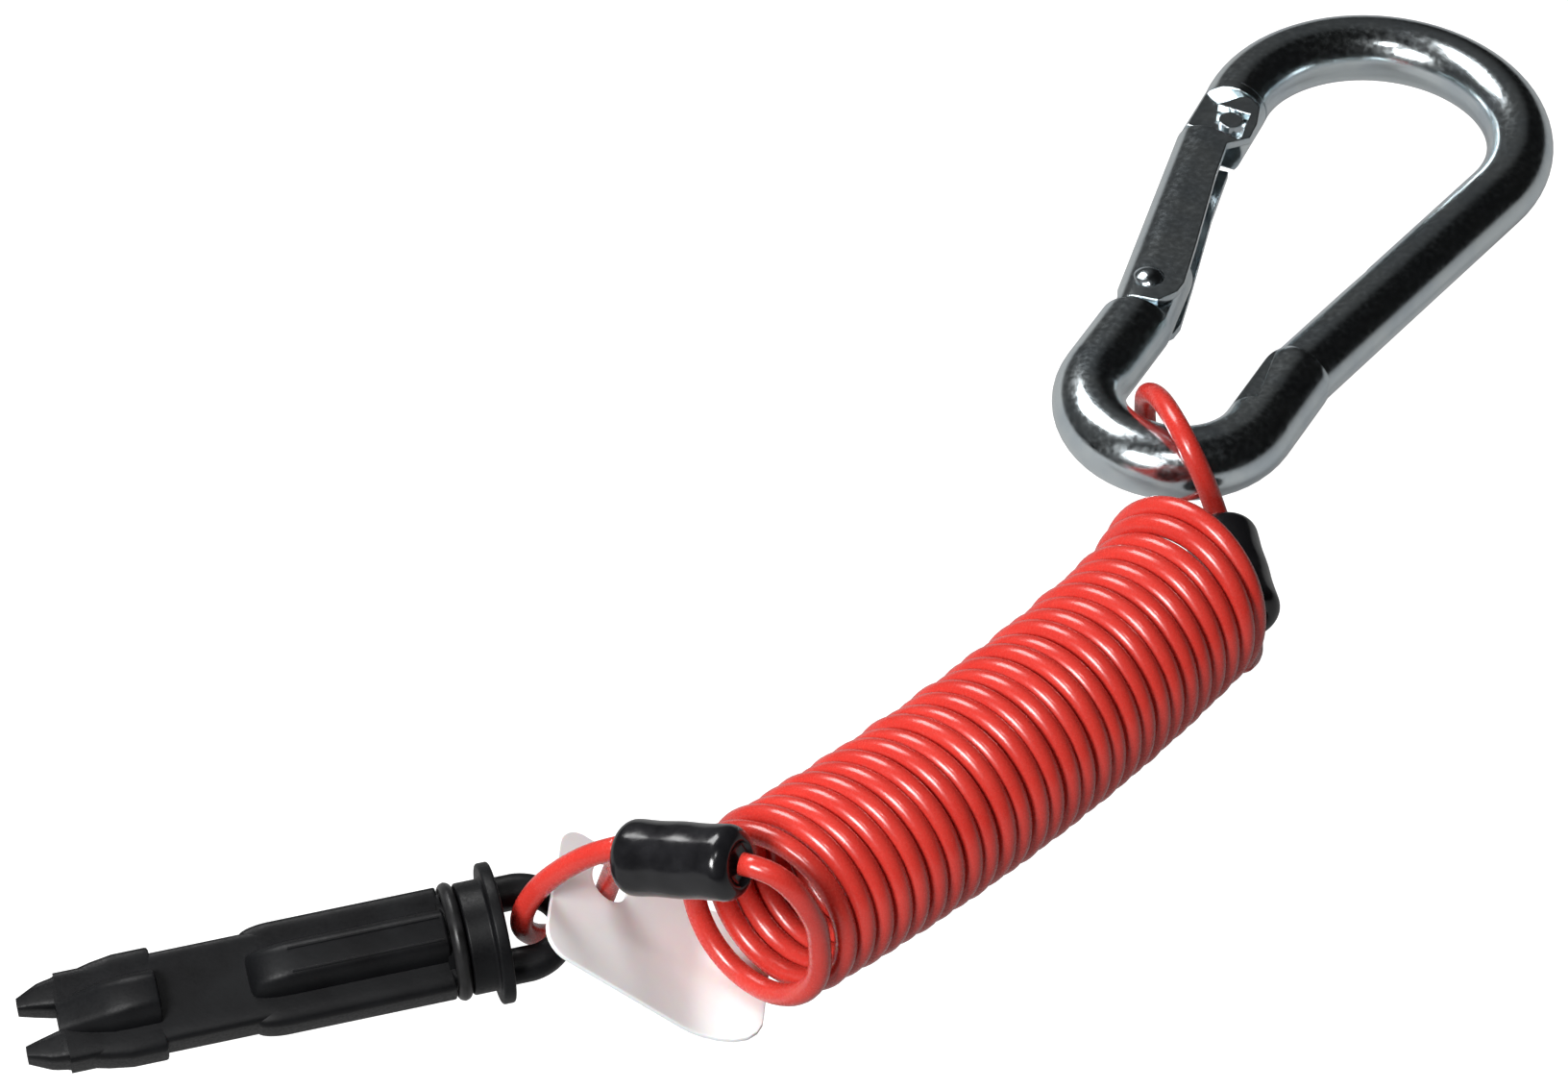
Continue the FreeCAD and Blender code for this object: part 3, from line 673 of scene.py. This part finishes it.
@dataclass
class Coil:
    """The curly stretch: 27 turns on a bowed axis, leaning a little, their spacing uneven."""

    start: tuple = (-3.88, -129.0)
    heading: float = 73.7
    height: float = 10.9
    near_lift: float = 1.2
    run: float = 69.5
    bow: float = 2.4
    pitch: float = 2.53
    base: float = 0.25
    first_gap: float = 1.0
    first_angle: float = 95.0
    turns: float = 27.06
    points_per_turn: int = 16
    lean_right: tuple = (0.7, 0.2)
    lean_up: tuple = (1.15, 1.6)
    end_lift: float = 1.2
    end_growth: float = 0.5
    paired: float = 0.11
    loose: float = 0.16
    loose_phase: float = 0.8
    loose_waves: float = 23.0
    tight: float = 0.1
    gap_from: float = 250.0
    gap_over: float = 200.0
    ending_from: float = 0.90
    ending_over: float = 0.08
    ending_drop: float = 0.012

    def points(self) -> list[tuple[float, float, float]]:
        """Control points of the turns.

        The middle line is a level one that bows sideways and sinks from its near lift to its height.
        A point turns about it while it moves on by the pitch. It also moves along the axis by
        the lean times its place on the ring, by a wave that draws the turns together in pairs, and by
        a gap after the first turn. The last turns are a little wider and lie a little higher.

        Returns:
            The points, in millimetres.
        """
        count = int(round(self.turns * self.points_per_turn))
        degrees = self.first_angle + 360.0 / self.points_per_turn * np.arange(count + 1)
        angle = np.radians(degrees)
        share = (angle - angle[0]) / (angle[-1] - angle[0])
        heading = math.radians(self.heading)
        along = np.array([math.cos(heading), math.sin(heading), 0.0])
        across = np.array([along[1], -along[0], 0.0])
        up = np.array([0.0, 0.0, 1.0])
        corner_cut = (3.0 + math.cos(2.0 * math.pi / self.points_per_turn)) / 4.0
        radius = COIL_LINE_RADIUS / corner_cut
        slack = np.cos(angle / 2.0 + self.loose_phase) * np.sin(share * self.loose_waves)
        radius = radius + self.loose * slack - self.tight
        lean_right = self.lean_right[0] + (self.lean_right[1] - self.lean_right[0]) * share
        lean_up = self.lean_up[0] + (self.lean_up[1] - self.lean_up[0]) * share
        travel = self.base + self.pitch * degrees / 360.0
        travel = travel + lean_right * np.sin(angle) + lean_up * np.cos(angle)
        travel = travel + self.paired * np.cos(angle / 2.0) * np.sin(math.pi * share)
        opened = np.clip((degrees - self.gap_from) / self.gap_over, 0.0, 1.0)
        travel = travel + self.first_gap * opened ** 2 * (3.0 - 2.0 * opened)
        ending = np.clip((share - self.ending_from) / self.ending_over, 0.0, 1.0)
        ending = ending * np.clip((1.0 - share) / self.ending_drop, 0.0, 1.0)
        radius = radius + self.end_growth * ending
        middle = np.array([*self.start, self.height]) + travel[:, None] * along
        middle = middle + (4.0 * share * (1.0 - share) * self.bow)[:, None] * across
        middle = middle + ((1.0 - share) * self.near_lift + self.end_lift * ending)[:, None] * up
        ring = radius[:, None] * (np.sin(angle)[:, None] * across + np.cos(angle)[:, None] * up)
        return [tuple(p) for p in middle + ring]


@dataclass
class CableSet:
    """The whole cable: eye, lead, coil, lead and eye."""

    coil: Coil = field(default_factory=Coil)

    def build(self) -> list[bpy.types.Object]:
        """Make its three stretches.

        Returns:
            The pieces.
        """
        jacket = RedJacket().build()
        run = PIN_LEAD_ROUTE + self.coil.points() + HOOK_LEAD_ROUTE
        return [
            Cable("cable_run", run, ("cable_lead_pin", "cable_coil", "cable_lead_hook"),
                  resolution=4, sides=18, lay="coiled").declare(jacket),
            Cable("eye_at_hook", HOOK_EYE_ROUTE, ("cable_eye_hook",), sides=28).declare(jacket),
            Cable("eye_at_pin", PIN_EYE_ROUTE, ("cable_eye_pin",), sides=28).declare(jacket),
        ]


# ---------------------------------------------------------------- sleeves


@dataclass
class CrimpSleeve:
    """A dipped black sleeve, turned about its own axis, its ends rounded and dished."""

    name: str
    node: str
    start: tuple
    direction: tuple
    radius: float = 4.1
    length: float = 14.4
    fillet: float = 1.7
    dish: float = 0.55
    mouth: float = 2.9
    waist: float = 0.08
    oval: float = 0.012
    sides: int = 72

    def profile(self) -> tuple[np.ndarray, np.ndarray]:
        """Radius and distance along the axis: dished end, quarter circle, waisted side, and back.

        Returns:
            Radii and distances.
        """
        quarter = np.linspace(0.0, math.pi / 2.0, 10)
        corner_r = self.radius - self.fillet + self.fillet * np.sin(quarter)
        corner_x = self.fillet - self.fillet * np.cos(quarter)
        side_x = np.linspace(self.fillet, self.length - self.fillet, 24)[1:-1]
        side_share = (side_x - self.fillet) / (self.length - 2.0 * self.fillet)
        side_r = self.radius - self.waist * (0.5 - 0.5 * np.cos(4.0 * math.pi * side_share))
        dish_r = np.array([0.4, self.mouth * 0.55, self.mouth * 0.85])
        dish_x = self.dish * (1.0 - (dish_r / self.mouth) ** 3)
        end_r = np.concatenate([dish_r, corner_r])
        end_x = np.concatenate([dish_x, corner_x])
        radii = np.concatenate([end_r, side_r, end_r[::-1]])
        distances = np.concatenate([end_x, side_x, self.length - end_x[::-1]])
        return radii, distances

    def build(self, material: bpy.types.Material) -> bpy.types.Object:
        """Turn the profile about the axis.

        Args:
            material: the sleeve's finish.

        Returns:
            The piece.
        """
        radii, distances = self.profile()
        angle = np.linspace(0.0, 2.0 * math.pi, self.sides, endpoint=False)[None, :]
        flat = 1.0 + self.oval * np.cos(2.0 * angle)
        grid = np.stack([
            radii[:, None] * np.cos(angle) * flat,
            radii[:, None] * np.sin(angle) * flat,
            np.broadcast_to(distances[:, None], (len(radii), self.sides)),
        ], -1)
        shell = Shell()
        shell.add_grid(grid)
        turn = Vector(self.direction).to_track_quat("Z", "Y").to_matrix().to_4x4()
        piece = shell.piece(self.name, Matrix.Translation(Vector(self.start)) @ turn)
        return dress(piece, material, Slot.SLEEVE, "lanyard", self.node)


# ---------------------------------------------------------------- tag


@dataclass
class MarkerTag:
    """The blank tag: a sheet with rounded corners and a punched hole, curving up off the floor."""

    end: tuple = (0.6, -134.1, 0.0)
    heading: float = 23.0
    width: float = 17.6
    flat: float = 6.4
    rise: float = 21.4
    slope: float = 38.5
    bend: float = 8.0
    thickness: float = 0.5
    corner: float = 3.0
    hole_radius: float = 2.4
    hole_along: float = 7.0
    hole_across: float = 13.4
    ripple: float = 0.06
    edge: float = 0.14
    steps: int = 120
    rings: int = 28

    def rim(self, centre: np.ndarray) -> np.ndarray:
        """Where rays from the hole's centre meet the rounded rectangle.

        Args:
            centre: the hole's centre on the flat sheet.

        Returns:
            One point for each ray.
        """
        length = self.flat + self.rise
        near, far, top = self.corner, length - self.corner, self.width - self.corner
        corners = [(far, top), (near, top), (near, near), (far, near)]
        pieces = []
        for index, middle in enumerate(corners):
            turn = np.radians(np.linspace(90.0 * index, 90.0 * (index + 1), 16))
            pieces.append(np.array(middle) + self.corner * np.stack([np.cos(turn), np.sin(turn)], -1))
        outline = np.concatenate(pieces + [pieces[0][:1]])
        step = np.linalg.norm(np.diff(outline, axis=0), axis=1)
        walked = np.concatenate([[0.0], np.cumsum(step)])
        fine = np.linspace(0.0, walked[-1], 4000)
        dense = np.stack([np.interp(fine, walked, outline[:, k]) for k in (0, 1)], -1)
        seen = np.unwrap(np.arctan2(dense[:, 1] - centre[1], dense[:, 0] - centre[0]))
        rays = seen[0] + np.linspace(0.0, 2.0 * math.pi, self.steps, endpoint=False)
        return np.stack([np.interp(rays, seen, dense[:, k]) for k in (0, 1)], -1)

    def bent(self, sheet: np.ndarray) -> np.ndarray:
        """Roll the flat sheet over its bend: along the floor, round an arc, then up the slope.

        Args:
            sheet: points × 2 on the flat sheet.

        Returns:
            Points × 3 in the tag's frame.
        """
        slope = math.radians(self.slope)
        setback = self.bend * math.tan(slope / 2.0)
        first = self.flat - setback
        arc = self.bend * slope
        run = sheet[..., 0] * (self.flat + self.rise - 2.0 * setback + arc) / (self.flat + self.rise)
        turn = np.clip((run - first) / self.bend, 0.0, slope)
        after = np.maximum(run - first - arc, 0.0)
        forward = np.minimum(run, first) + self.bend * np.sin(turn) + after * math.cos(slope)
        height = self.bend * (1.0 - np.cos(turn)) + after * math.sin(slope)
        height = height + self.ripple * np.sin(sheet[..., 1] * 0.5) * np.clip(after / 6.0, 0.0, 1.0)
        return np.stack([-forward, sheet[..., 1], height], -1)

    def build(self) -> bpy.types.Object:
        """Rings from the hole's edge to the rim, bent, with thickness and soft edges.

        Returns:
            The piece.
        """
        centre = np.array([self.flat + self.rise - self.hole_along, self.hole_across])
        rim = self.rim(centre)
        ray = unit(rim - centre)
        edge = centre + self.hole_radius * ray
        share = np.linspace(0.0, 1.0, self.rings)[:, None, None] ** 0.8
        grid = self.bent(edge[None] * (1.0 - share) + rim[None] * share)
        shell = Shell()
        shell.add_grid(grid, capped=False)
        turn = Euler((0.0, 0.0, math.radians(self.heading))).to_matrix().to_4x4()
        piece = shell.piece("tag_sheet", Matrix.Translation(Vector(self.end)) @ turn)
        up = np.empty(len(piece.data.polygons) * 3)
        piece.data.polygons.foreach_get("normal", up)
        if up.reshape(-1, 3)[:, 2].mean() < 0.0:
            piece.data.flip_normals()
        wall = piece.modifiers.new("wall", "SOLIDIFY")
        wall.thickness = self.thickness * MM
        wall.offset = 1.0
        soft = piece.modifiers.new("soft_edges", "BEVEL")
        soft.width = self.edge * MM
        soft.segments = 2
        soft.limit_method = "ANGLE"
        soft.angle_limit = math.radians(50.0)
        return dress(piece, FrostedSheet().build(), Slot.TAG, "tag", "marker_tag")


# ---------------------------------------------------------------- pull pin


@dataclass
class PullPin:
    """The moulded pin: D loop, flange, collar, ring groove, ribbed barrel, waist and forked nose."""

    centre: tuple = (-28.68, -139.6, 7.9)
    heading: float = 222.0
    dip: float = 2.0
    roll: float = -24.0
    flange_radius: float = 7.7
    flange_thickness: float = 1.4
    collar_radius: float = 6.1
    collar_end: float = 3.5
    groove_radius: float = 4.6
    rear_start: float = 5.4
    rear_end: float = 27.0
    nose_start: float = 36.6
    reach: float = 51.0
    core_half: tuple = (5.1, 2.6)
    rib_half: tuple = (3.15, 5.7)
    lobe_half: float = 5.9
    round_limit: float = 6.1
    fork_depth: float = 3.6
    loop_half: float = 4.1
    loop_reach: float = 7.5
    loop_bar: float = 1.9
    loop_straight: float = 3.0
    loop_thinning: float = 0.4
    soft: float = 0.3
    rib_inset: float = 0.75
    rib_ramp: float = 5.6
    lobe_ramp: float = 3.6
    mould_line: tuple = (1.3, 5.66)
    mould_line_half: tuple = (0.14, 0.12)
    nose_edge: tuple = (0.0, 0.12, 0.35)
    nose_before_tip: tuple = (10.5, 8.0, 6.0, 4.2)
    nose_inset: tuple = (0.3, 0.08, 0.0, 0.0, 0.4, 0.9, 1.0, 1.2)
    nose_height: tuple = (0.94, 0.99, 1.0, 1.0, 1.0, 1.0, 0.97, 0.94)
    crest_before_tip: tuple = (11.0, 9.0, 5.0)
    crest_height: tuple = (5.7, 5.1, 3.2, 2.62)
    crest_inset: float = 0.7
    prong_outer: tuple = (4.85, 4.5, 3.4)
    prong_inner: tuple = (1.1, 2.0)
    prong_height: tuple = (2.5, 2.05, 1.5)
    ring_along: float = 4.45
    ring_radius: float = 5.62
    ring_bar: float = 0.80

    def place(self) -> Matrix:
        """The pin's frame: turn on the floor, dip of the tip and roll about its length.

        Returns:
            The frame, in millimetres.
        """
        turn = Matrix.Rotation(math.radians(self.heading), 4, "Z")
        dip = Matrix.Rotation(math.radians(self.dip), 4, "Y")
        roll = Matrix.Rotation(math.radians(self.roll), 4, "X")
        return Matrix.Translation(Vector(self.centre)) @ turn @ dip @ roll

    def loft(self, shell: Shell, along: np.ndarray, half_y: np.ndarray, half_z: np.ndarray,
             power: float = 7.0, centre_y: np.ndarray | float = 0.0, centre_z: float = 0.0,
             draft: float = 0.0) -> None:
        """Rounded squares of changing half sizes along the pin, kept inside the round bore.

        Args:
            shell: what it is added to.
            along: stations from the flange's middle.
            half_y: half width at each.
            half_z: half height at each.
            power: how square the section is.
            centre_y: the section's middle across the pin.
            centre_z: the section's middle up from the pin's axis.
            draft: how much wider the section is at its middle height than at its faces.
        """
        across, up = rounded_square(56, power)
        across = across * (1.0 + draft * (1.0 - np.abs(up)))
        y = np.broadcast_to(centre_y, along.shape)[:, None] + np.asarray(half_y)[:, None] * across
        z = centre_z + np.asarray(half_z)[:, None] * up
        far = np.hypot(y, z)
        held = np.minimum(1.0, self.round_limit / np.maximum(far, 1e-9))
        grid = np.stack([np.broadcast_to(along[:, None], y.shape), y * held, z * held], -1)
        shell.add_grid(grid)

    def ended(
        self, start: float, end: float, ramp: float, edge: float = 0.35
    ) -> tuple[np.ndarray, np.ndarray, np.ndarray]:
        """Stations of a rib with a rounded rear edge and a quarter-ellipse ramp in front.

        Args:
            start: rear end.
            end: front end.
            ramp: length of the ramp.
            edge: rounding of the rear edge.

        Returns:
            The stations, the share of full height at each, and the share of full width.
        """
        rear = np.linspace(0.0, 1.0, 6)
        front = np.linspace(0.0, 1.0, 14)
        along = np.concatenate([start + edge * rear, [0.5 * (start + end)], end - ramp + ramp * front])
        drop = 1.0 - np.sqrt(np.maximum(0.0, 1.0 - (1.0 - rear) ** 2))
        fall = 1.0 - np.sqrt(np.maximum(0.0, 1.0 - front ** 2))
        height = np.concatenate([1.0 - drop * 0.08, [1.0], 1.0 - fall])
        width = np.concatenate([1.0 - drop * 0.06, [1.0], 1.0 - 0.10 * front ** 3])
        return along, height, width

    def turned(self, shell: Shell) -> None:
        """Flange, collar and ring groove, turned about the pin's axis.

        Args:
            shell: what it is added to.
        """
        half = self.flange_thickness / 2.0
        soft = self.soft
        rim = self.flange_radius - soft
        bend = np.linspace(0.0, math.pi / 2.0, 6)
        rise, run = soft * np.sin(bend), soft * np.cos(bend)
        profile = [(-half, soft), (-half, rim - 0.4)]
        profile += list(zip(soft - half - run, rim + rise))
        profile += list(zip(half - soft + rise, rim + run))
        profile += list(zip(half + soft - run, self.collar_radius + soft - rise))
        profile += list(zip(self.collar_end - soft + rise, self.collar_radius - soft + run))
        groove = self.groove_radius
        profile += [(self.collar_end, groove + soft), (self.collar_end + soft, groove)]
        profile += [(self.rear_start + 0.4, groove), (self.rear_start + 0.6, soft)]
        stations = np.array(profile)
        angle = np.linspace(0.0, 2.0 * math.pi, 96, endpoint=False)[None, :]
        grid = np.stack([
            np.broadcast_to(stations[:, :1], (len(stations), 96)),
            stations[:, 1:] * np.cos(angle),
            stations[:, 1:] * np.sin(angle),
        ], -1)
        shell.add_grid(grid)

    def loop(self, shell: Shell) -> None:
        """The D loop: a rounded bar carried down one leg, round half an ellipse and up the other.

        Args:
            shell: what it is added to.
        """
        bend = np.linspace(-math.pi / 2.0, math.pi / 2.0, 40)
        leg = np.linspace(-0.1, -2.8, 6)
        rounded = self.loop_reach - self.loop_straight
        x = np.concatenate([leg, -self.loop_straight - rounded * np.cos(bend), leg[::-1]])
        far = np.full(len(leg), self.loop_half)
        y = np.concatenate([-far, self.loop_half * np.sin(bend), far])
        line = np.stack([x, y, np.zeros_like(x)], -1)
        tangent = unit(np.gradient(line, axis=0))
        side = np.stack([-tangent[:, 1], tangent[:, 0], np.zeros(len(x))], -1)
        bent = np.clip((-x - self.loop_straight) / rounded, 0.0, 1.0)
        thin = self.loop_bar - self.loop_thinning * bent
        across, up = rounded_square(40, 2.5)
        grid = line[:, None] + (thin[:, None] * across)[..., None] * side[:, None]
        grid = grid + (self.loop_bar * up)[None, :, None] * np.array([0.0, 0.0, 1.0])
        shell.add_grid(grid)

    def nose(self, shell: Shell) -> None:
        """The nose plate, its crest and the two prongs.

        Args:
            shell: what it is added to.
        """
        root = self.reach - self.fork_depth
        back = self.nose_start + np.array(self.nose_edge)
        along = np.concatenate([back, self.reach - np.array(self.nose_before_tip), [root]])
        wide = self.lobe_half - np.array(self.nose_inset)
        self.loft(shell, along, wide, self.core_half[1] * np.array(self.nose_height))
        knees = [*(self.reach - np.array(self.crest_before_tip)), root]
        crest = np.linspace(knees[0], root, 12)
        along = np.concatenate([back, crest])
        rear = self.rib_half[1] - np.array(self.nose_inset[:3])
        high = np.concatenate([rear, np.interp(crest, knees, self.crest_height)])
        narrowed = 0.5 * np.clip((along - 42.0) / 5.0, 0.0, 1.0)
        wide = self.rib_half[0] - self.crest_inset - narrowed
        wide[:2] -= [0.25, 0.06]
        self.loft(shell, along, wide, high, 4.5, draft=0.4)
        ends = [root - 0.8, self.reach + 0.3]
        tip = np.linspace(*ends, 9)
        outer = np.interp(tip, [ends[0], self.reach - 2.2, ends[1]], self.prong_outer)
        inner = np.interp(tip, [root, ends[1]], self.prong_inner)
        high = np.interp(tip, [ends[0], self.reach - 1.5, ends[1]], self.prong_height)
        for side in (-1.0, 1.0):
            self.loft(shell, tip, (outer - inner) / 2.0, high, 5.0, side * (outer + inner) / 2.0)

    def barrel(self, shell: Shell) -> None:
        """Core, face ribs, edge lobes and the fine mould lines.

        Args:
            shell: what it is added to.
        """
        core = np.array([self.rear_start - 0.2, self.reach - self.fork_depth - 0.4])
        self.loft(shell, core, np.full(2, self.core_half[0]), np.full(2, self.core_half[1]), 9.0)
        along, height, width = self.ended(self.rear_start, self.rear_end, self.rib_ramp)
        floor_z = self.core_half[1] * 0.95
        high = floor_z + (self.rib_half[1] - floor_z) * height
        self.loft(shell, along, (self.rib_half[0] - self.rib_inset) * width, high, 5.0, draft=0.42)
        along, height, width = self.ended(self.rear_start, self.rear_end, self.lobe_ramp)
        floor_y = self.core_half[0] * 0.97
        wide = floor_y + (self.lobe_half - floor_y) * height
        self.loft(shell, along, wide, self.core_half[1] * width)
        line = np.array([self.rear_start + 0.5, self.rear_end - 4.6])
        half_y, half_z = (np.full(2, half) for half in self.mould_line_half)
        across, up = self.mould_line
        for side in (-1.0, 1.0):
            for face in (-1.0, 1.0):
                self.loft(shell, line, half_y, half_z, 3.0, side * across, face * up)

    def build(self) -> list[bpy.types.Object]:
        """Make the moulding and its sealing ring.

        Returns:
            The two pieces.
        """
        shell = Shell()
        self.turned(shell)
        self.loop(shell)
        self.barrel(shell)
        self.nose(shell)
        moulding = shell.piece("pin_moulding", self.place())
        moulding.data.set_sharp_from_angle(angle=math.radians(38.0))
        dress(moulding, MattNylon().build(), Slot.NYLON, "pin", "pull_pin")
        return [moulding, self.ring()]

    def ring(self) -> bpy.types.Object:
        """The rubber ring: a torus with a faint mould line round its outside.

        Returns:
            The piece.
        """
        around = np.linspace(0.0, 2.0 * math.pi, 120, endpoint=False)[:, None]
        section = np.linspace(0.0, 2.0 * math.pi, 32, endpoint=False)[None, :]
        thick = self.ring_bar + 0.03 * np.exp(-((np.cos(section) - 1.0) / 0.004) ** 2)
        big = self.ring_radius + 0.02 * np.cos(3.0 * around)
        grid = np.stack([
            np.broadcast_to(self.ring_along + thick * np.sin(section), (120, 32)),
            (big + thick * np.cos(section)) * np.cos(around),
            (big + thick * np.cos(section)) * np.sin(around),
        ], -1)
        shell = Shell()
        closed = np.concatenate([grid, grid[:1]])
        shell.add_grid(closed, capped=False)
        piece = shell.piece("sealing_ring", self.place())
        weld = piece.modifiers.new("closed_seam", "WELD")
        weld.merge_threshold = 0.001 * MM
        return dress(piece, SoftRubber().build(), Slot.RUBBER, "pin", "pin_o_ring")


# ---------------------------------------------------------------- steel


@dataclass
class SteelHook:
    """The snap hook's steel: its CAD nodes stay and get their finishes."""

    plated: tuple = ("hook_body", "hook_gate", "gate_rivet")
    sprung: tuple = ("gate_plunger", "gate_spring")
    crimped: tuple = ("ferrule_hook", "ferrule_pin")

    def dress(self) -> None:
        """Give each node its finish."""
        for names, material in (
            (self.plated, BrightPlate().build()),
            (self.sprung, SpringWire().build()),
            (self.crimped, CrimpMetal().build()),
        ):
            for name in names:
                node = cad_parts[name]
                node.data.materials.clear()
                node.data.materials.append(material)
                log.info("%s gets %s", name, material.name)


# ---------------------------------------------------------------- studio


@dataclass
class Studio:
    """Light table, soft boxes and camera."""

    eye: tuple = (232.91, -565.71, 565.69)
    target: tuple = (-32.66, -66.24, 0.0)
    lens: float = 160.4
    bright_sides: tuple = (((-0.80, 0.25, 0.45), 0.45, 0.75), ((-0.15, -0.95, 0.2), 0.80, 0.93))
    dark_level: float = 0.10
    light_level: float = 0.95
    backdrop_level: float = 1.1
    floor_reach: float = 4000.0
    floor_height: float = -20.0
    soft_boxes: tuple = (
        ("key", (-330.0, 60.0, 430.0), 260.0, 2.3),
        ("fill", (-60.0, -560.0, 420.0), 200.0, 3.9),
        ("spark", (120.0, -330.0, 620.0), 60.0, 0.45),
    )

    def build(self) -> None:
        """Make the floor, the surround, the lights and the camera."""
        self.floor()
        self.surround()
        for box in self.soft_boxes:
            self.soft_box(*box)
        self.camera()

    def floor(self) -> None:
        """A plain square floor, low enough that the hook and the pin swing down freely over it."""
        steps = np.linspace(-self.floor_reach, self.floor_reach, 3)
        x, y = np.meshgrid(steps, steps)
        shell = Shell()
        grid = np.stack([x, y, np.full_like(x, self.floor_height)], -1)
        shell.add_grid(grid, wrap=False, capped=False)
        piece = shell.piece("floor")
        piece.data.materials.append(PaleTable().build())

    def surround(self) -> None:
        """A dim room with a bright side on the left and a bright patch low in front."""
        world = bpy.data.worlds.new("room")
        bpy.context.scene.world = world
        world.use_nodes = True
        tree = world.node_tree
        back = tree.nodes["Background"]
        place = tree.nodes.new("ShaderNodeTexCoord")
        level = None
        for towards, start, end in self.bright_sides:
            dot = tree.nodes.new("ShaderNodeVectorMath")
            dot.operation = "DOT_PRODUCT"
            dot.inputs[1].default_value = Vector(towards).normalized()
            tree.links.new(place.outputs["Generated"], dot.inputs[0])
            fade = tree.nodes.new("ShaderNodeMapRange")
            fade.interpolation_type = "SMOOTHSTEP"
            fade.inputs["From Min"].default_value = start
            fade.inputs["From Max"].default_value = end
            fade.inputs["To Min"].default_value = self.dark_level
            fade.inputs["To Max"].default_value = self.light_level
            tree.links.new(dot.outputs["Value"], fade.inputs["Value"])
            if level is None:
                level = fade.outputs["Result"]
                continue
            most = tree.nodes.new("ShaderNodeMath")
            most.operation = "MAXIMUM"
            tree.links.new(level, most.inputs[0])
            tree.links.new(fade.outputs["Result"], most.inputs[1])
            level = most.outputs["Value"]
        seen = tree.nodes.new("ShaderNodeLightPath")
        mix = tree.nodes.new("ShaderNodeMix")
        mix.data_type = "FLOAT"
        mix.inputs["B"].default_value = self.backdrop_level
        tree.links.new(seen.outputs["Is Camera Ray"], mix.inputs["Factor"])
        tree.links.new(level, mix.inputs["A"])
        tree.links.new(mix.outputs["Result"], back.inputs["Strength"])

    def soft_box(self, name: str, place: tuple, side: float, power: float) -> None:
        """A square light that faces the lanyard's middle.

        Args:
            name: its name.
            place: its place, in millimetres.
            side: its side, in millimetres.
            power: watts.
        """
        light = bpy.data.lights.new(name, "AREA")
        light.shape = "SQUARE"
        light.size = side * MM
        light.energy = power
        holder = bpy.data.objects.new(name, light)
        bpy.context.scene.collection.objects.link(holder)
        holder.location = Vector(place) * MM
        aim = Vector(self.target) - Vector(place)
        holder.rotation_mode = "QUATERNION"
        holder.rotation_quaternion = aim.to_track_quat("-Z", "Y")

    def camera(self) -> None:
        """The camera, 45 degrees above the floor and 0.8 m away."""
        lens = bpy.data.cameras.new("camera")
        lens.lens = self.lens
        lens.sensor_width = 36.0
        lens.clip_start = 0.01
        lens.clip_end = 20.0
        holder = bpy.data.objects.new("camera", lens)
        bpy.context.scene.collection.objects.link(holder)
        holder.location = Vector(self.eye) * MM
        aim = Vector(self.target) - Vector(self.eye)
        holder.rotation_mode = "QUATERNION"
        holder.rotation_quaternion = aim.to_track_quat("-Z", "Y")
        bpy.context.scene.camera = holder


def main() -> None:
    logging.basicConfig(level=logging.INFO, format="%(message)s")
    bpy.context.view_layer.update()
    bpy.context.scene.view_settings.view_transform = "Standard"
    Studio().build()
    CableSet().build()
    gloss = DippedBlack().build()
    CrimpSleeve("hook_sleeve", "sleeve_hook", (12.12, -44.9, 4.3), (0.6157, -0.788, 0.0)).build(gloss)
    CrimpSleeve("pin_sleeve", "sleeve_pin", (-15.58, -134.2, 21.5), (13.6, 0.9, 5.0)).build(gloss)
    MarkerTag().build()
    PullPin().build()
    SteelHook().dress()
    bpy.context.view_layer.update()


if __name__ == "__main__":
    main()
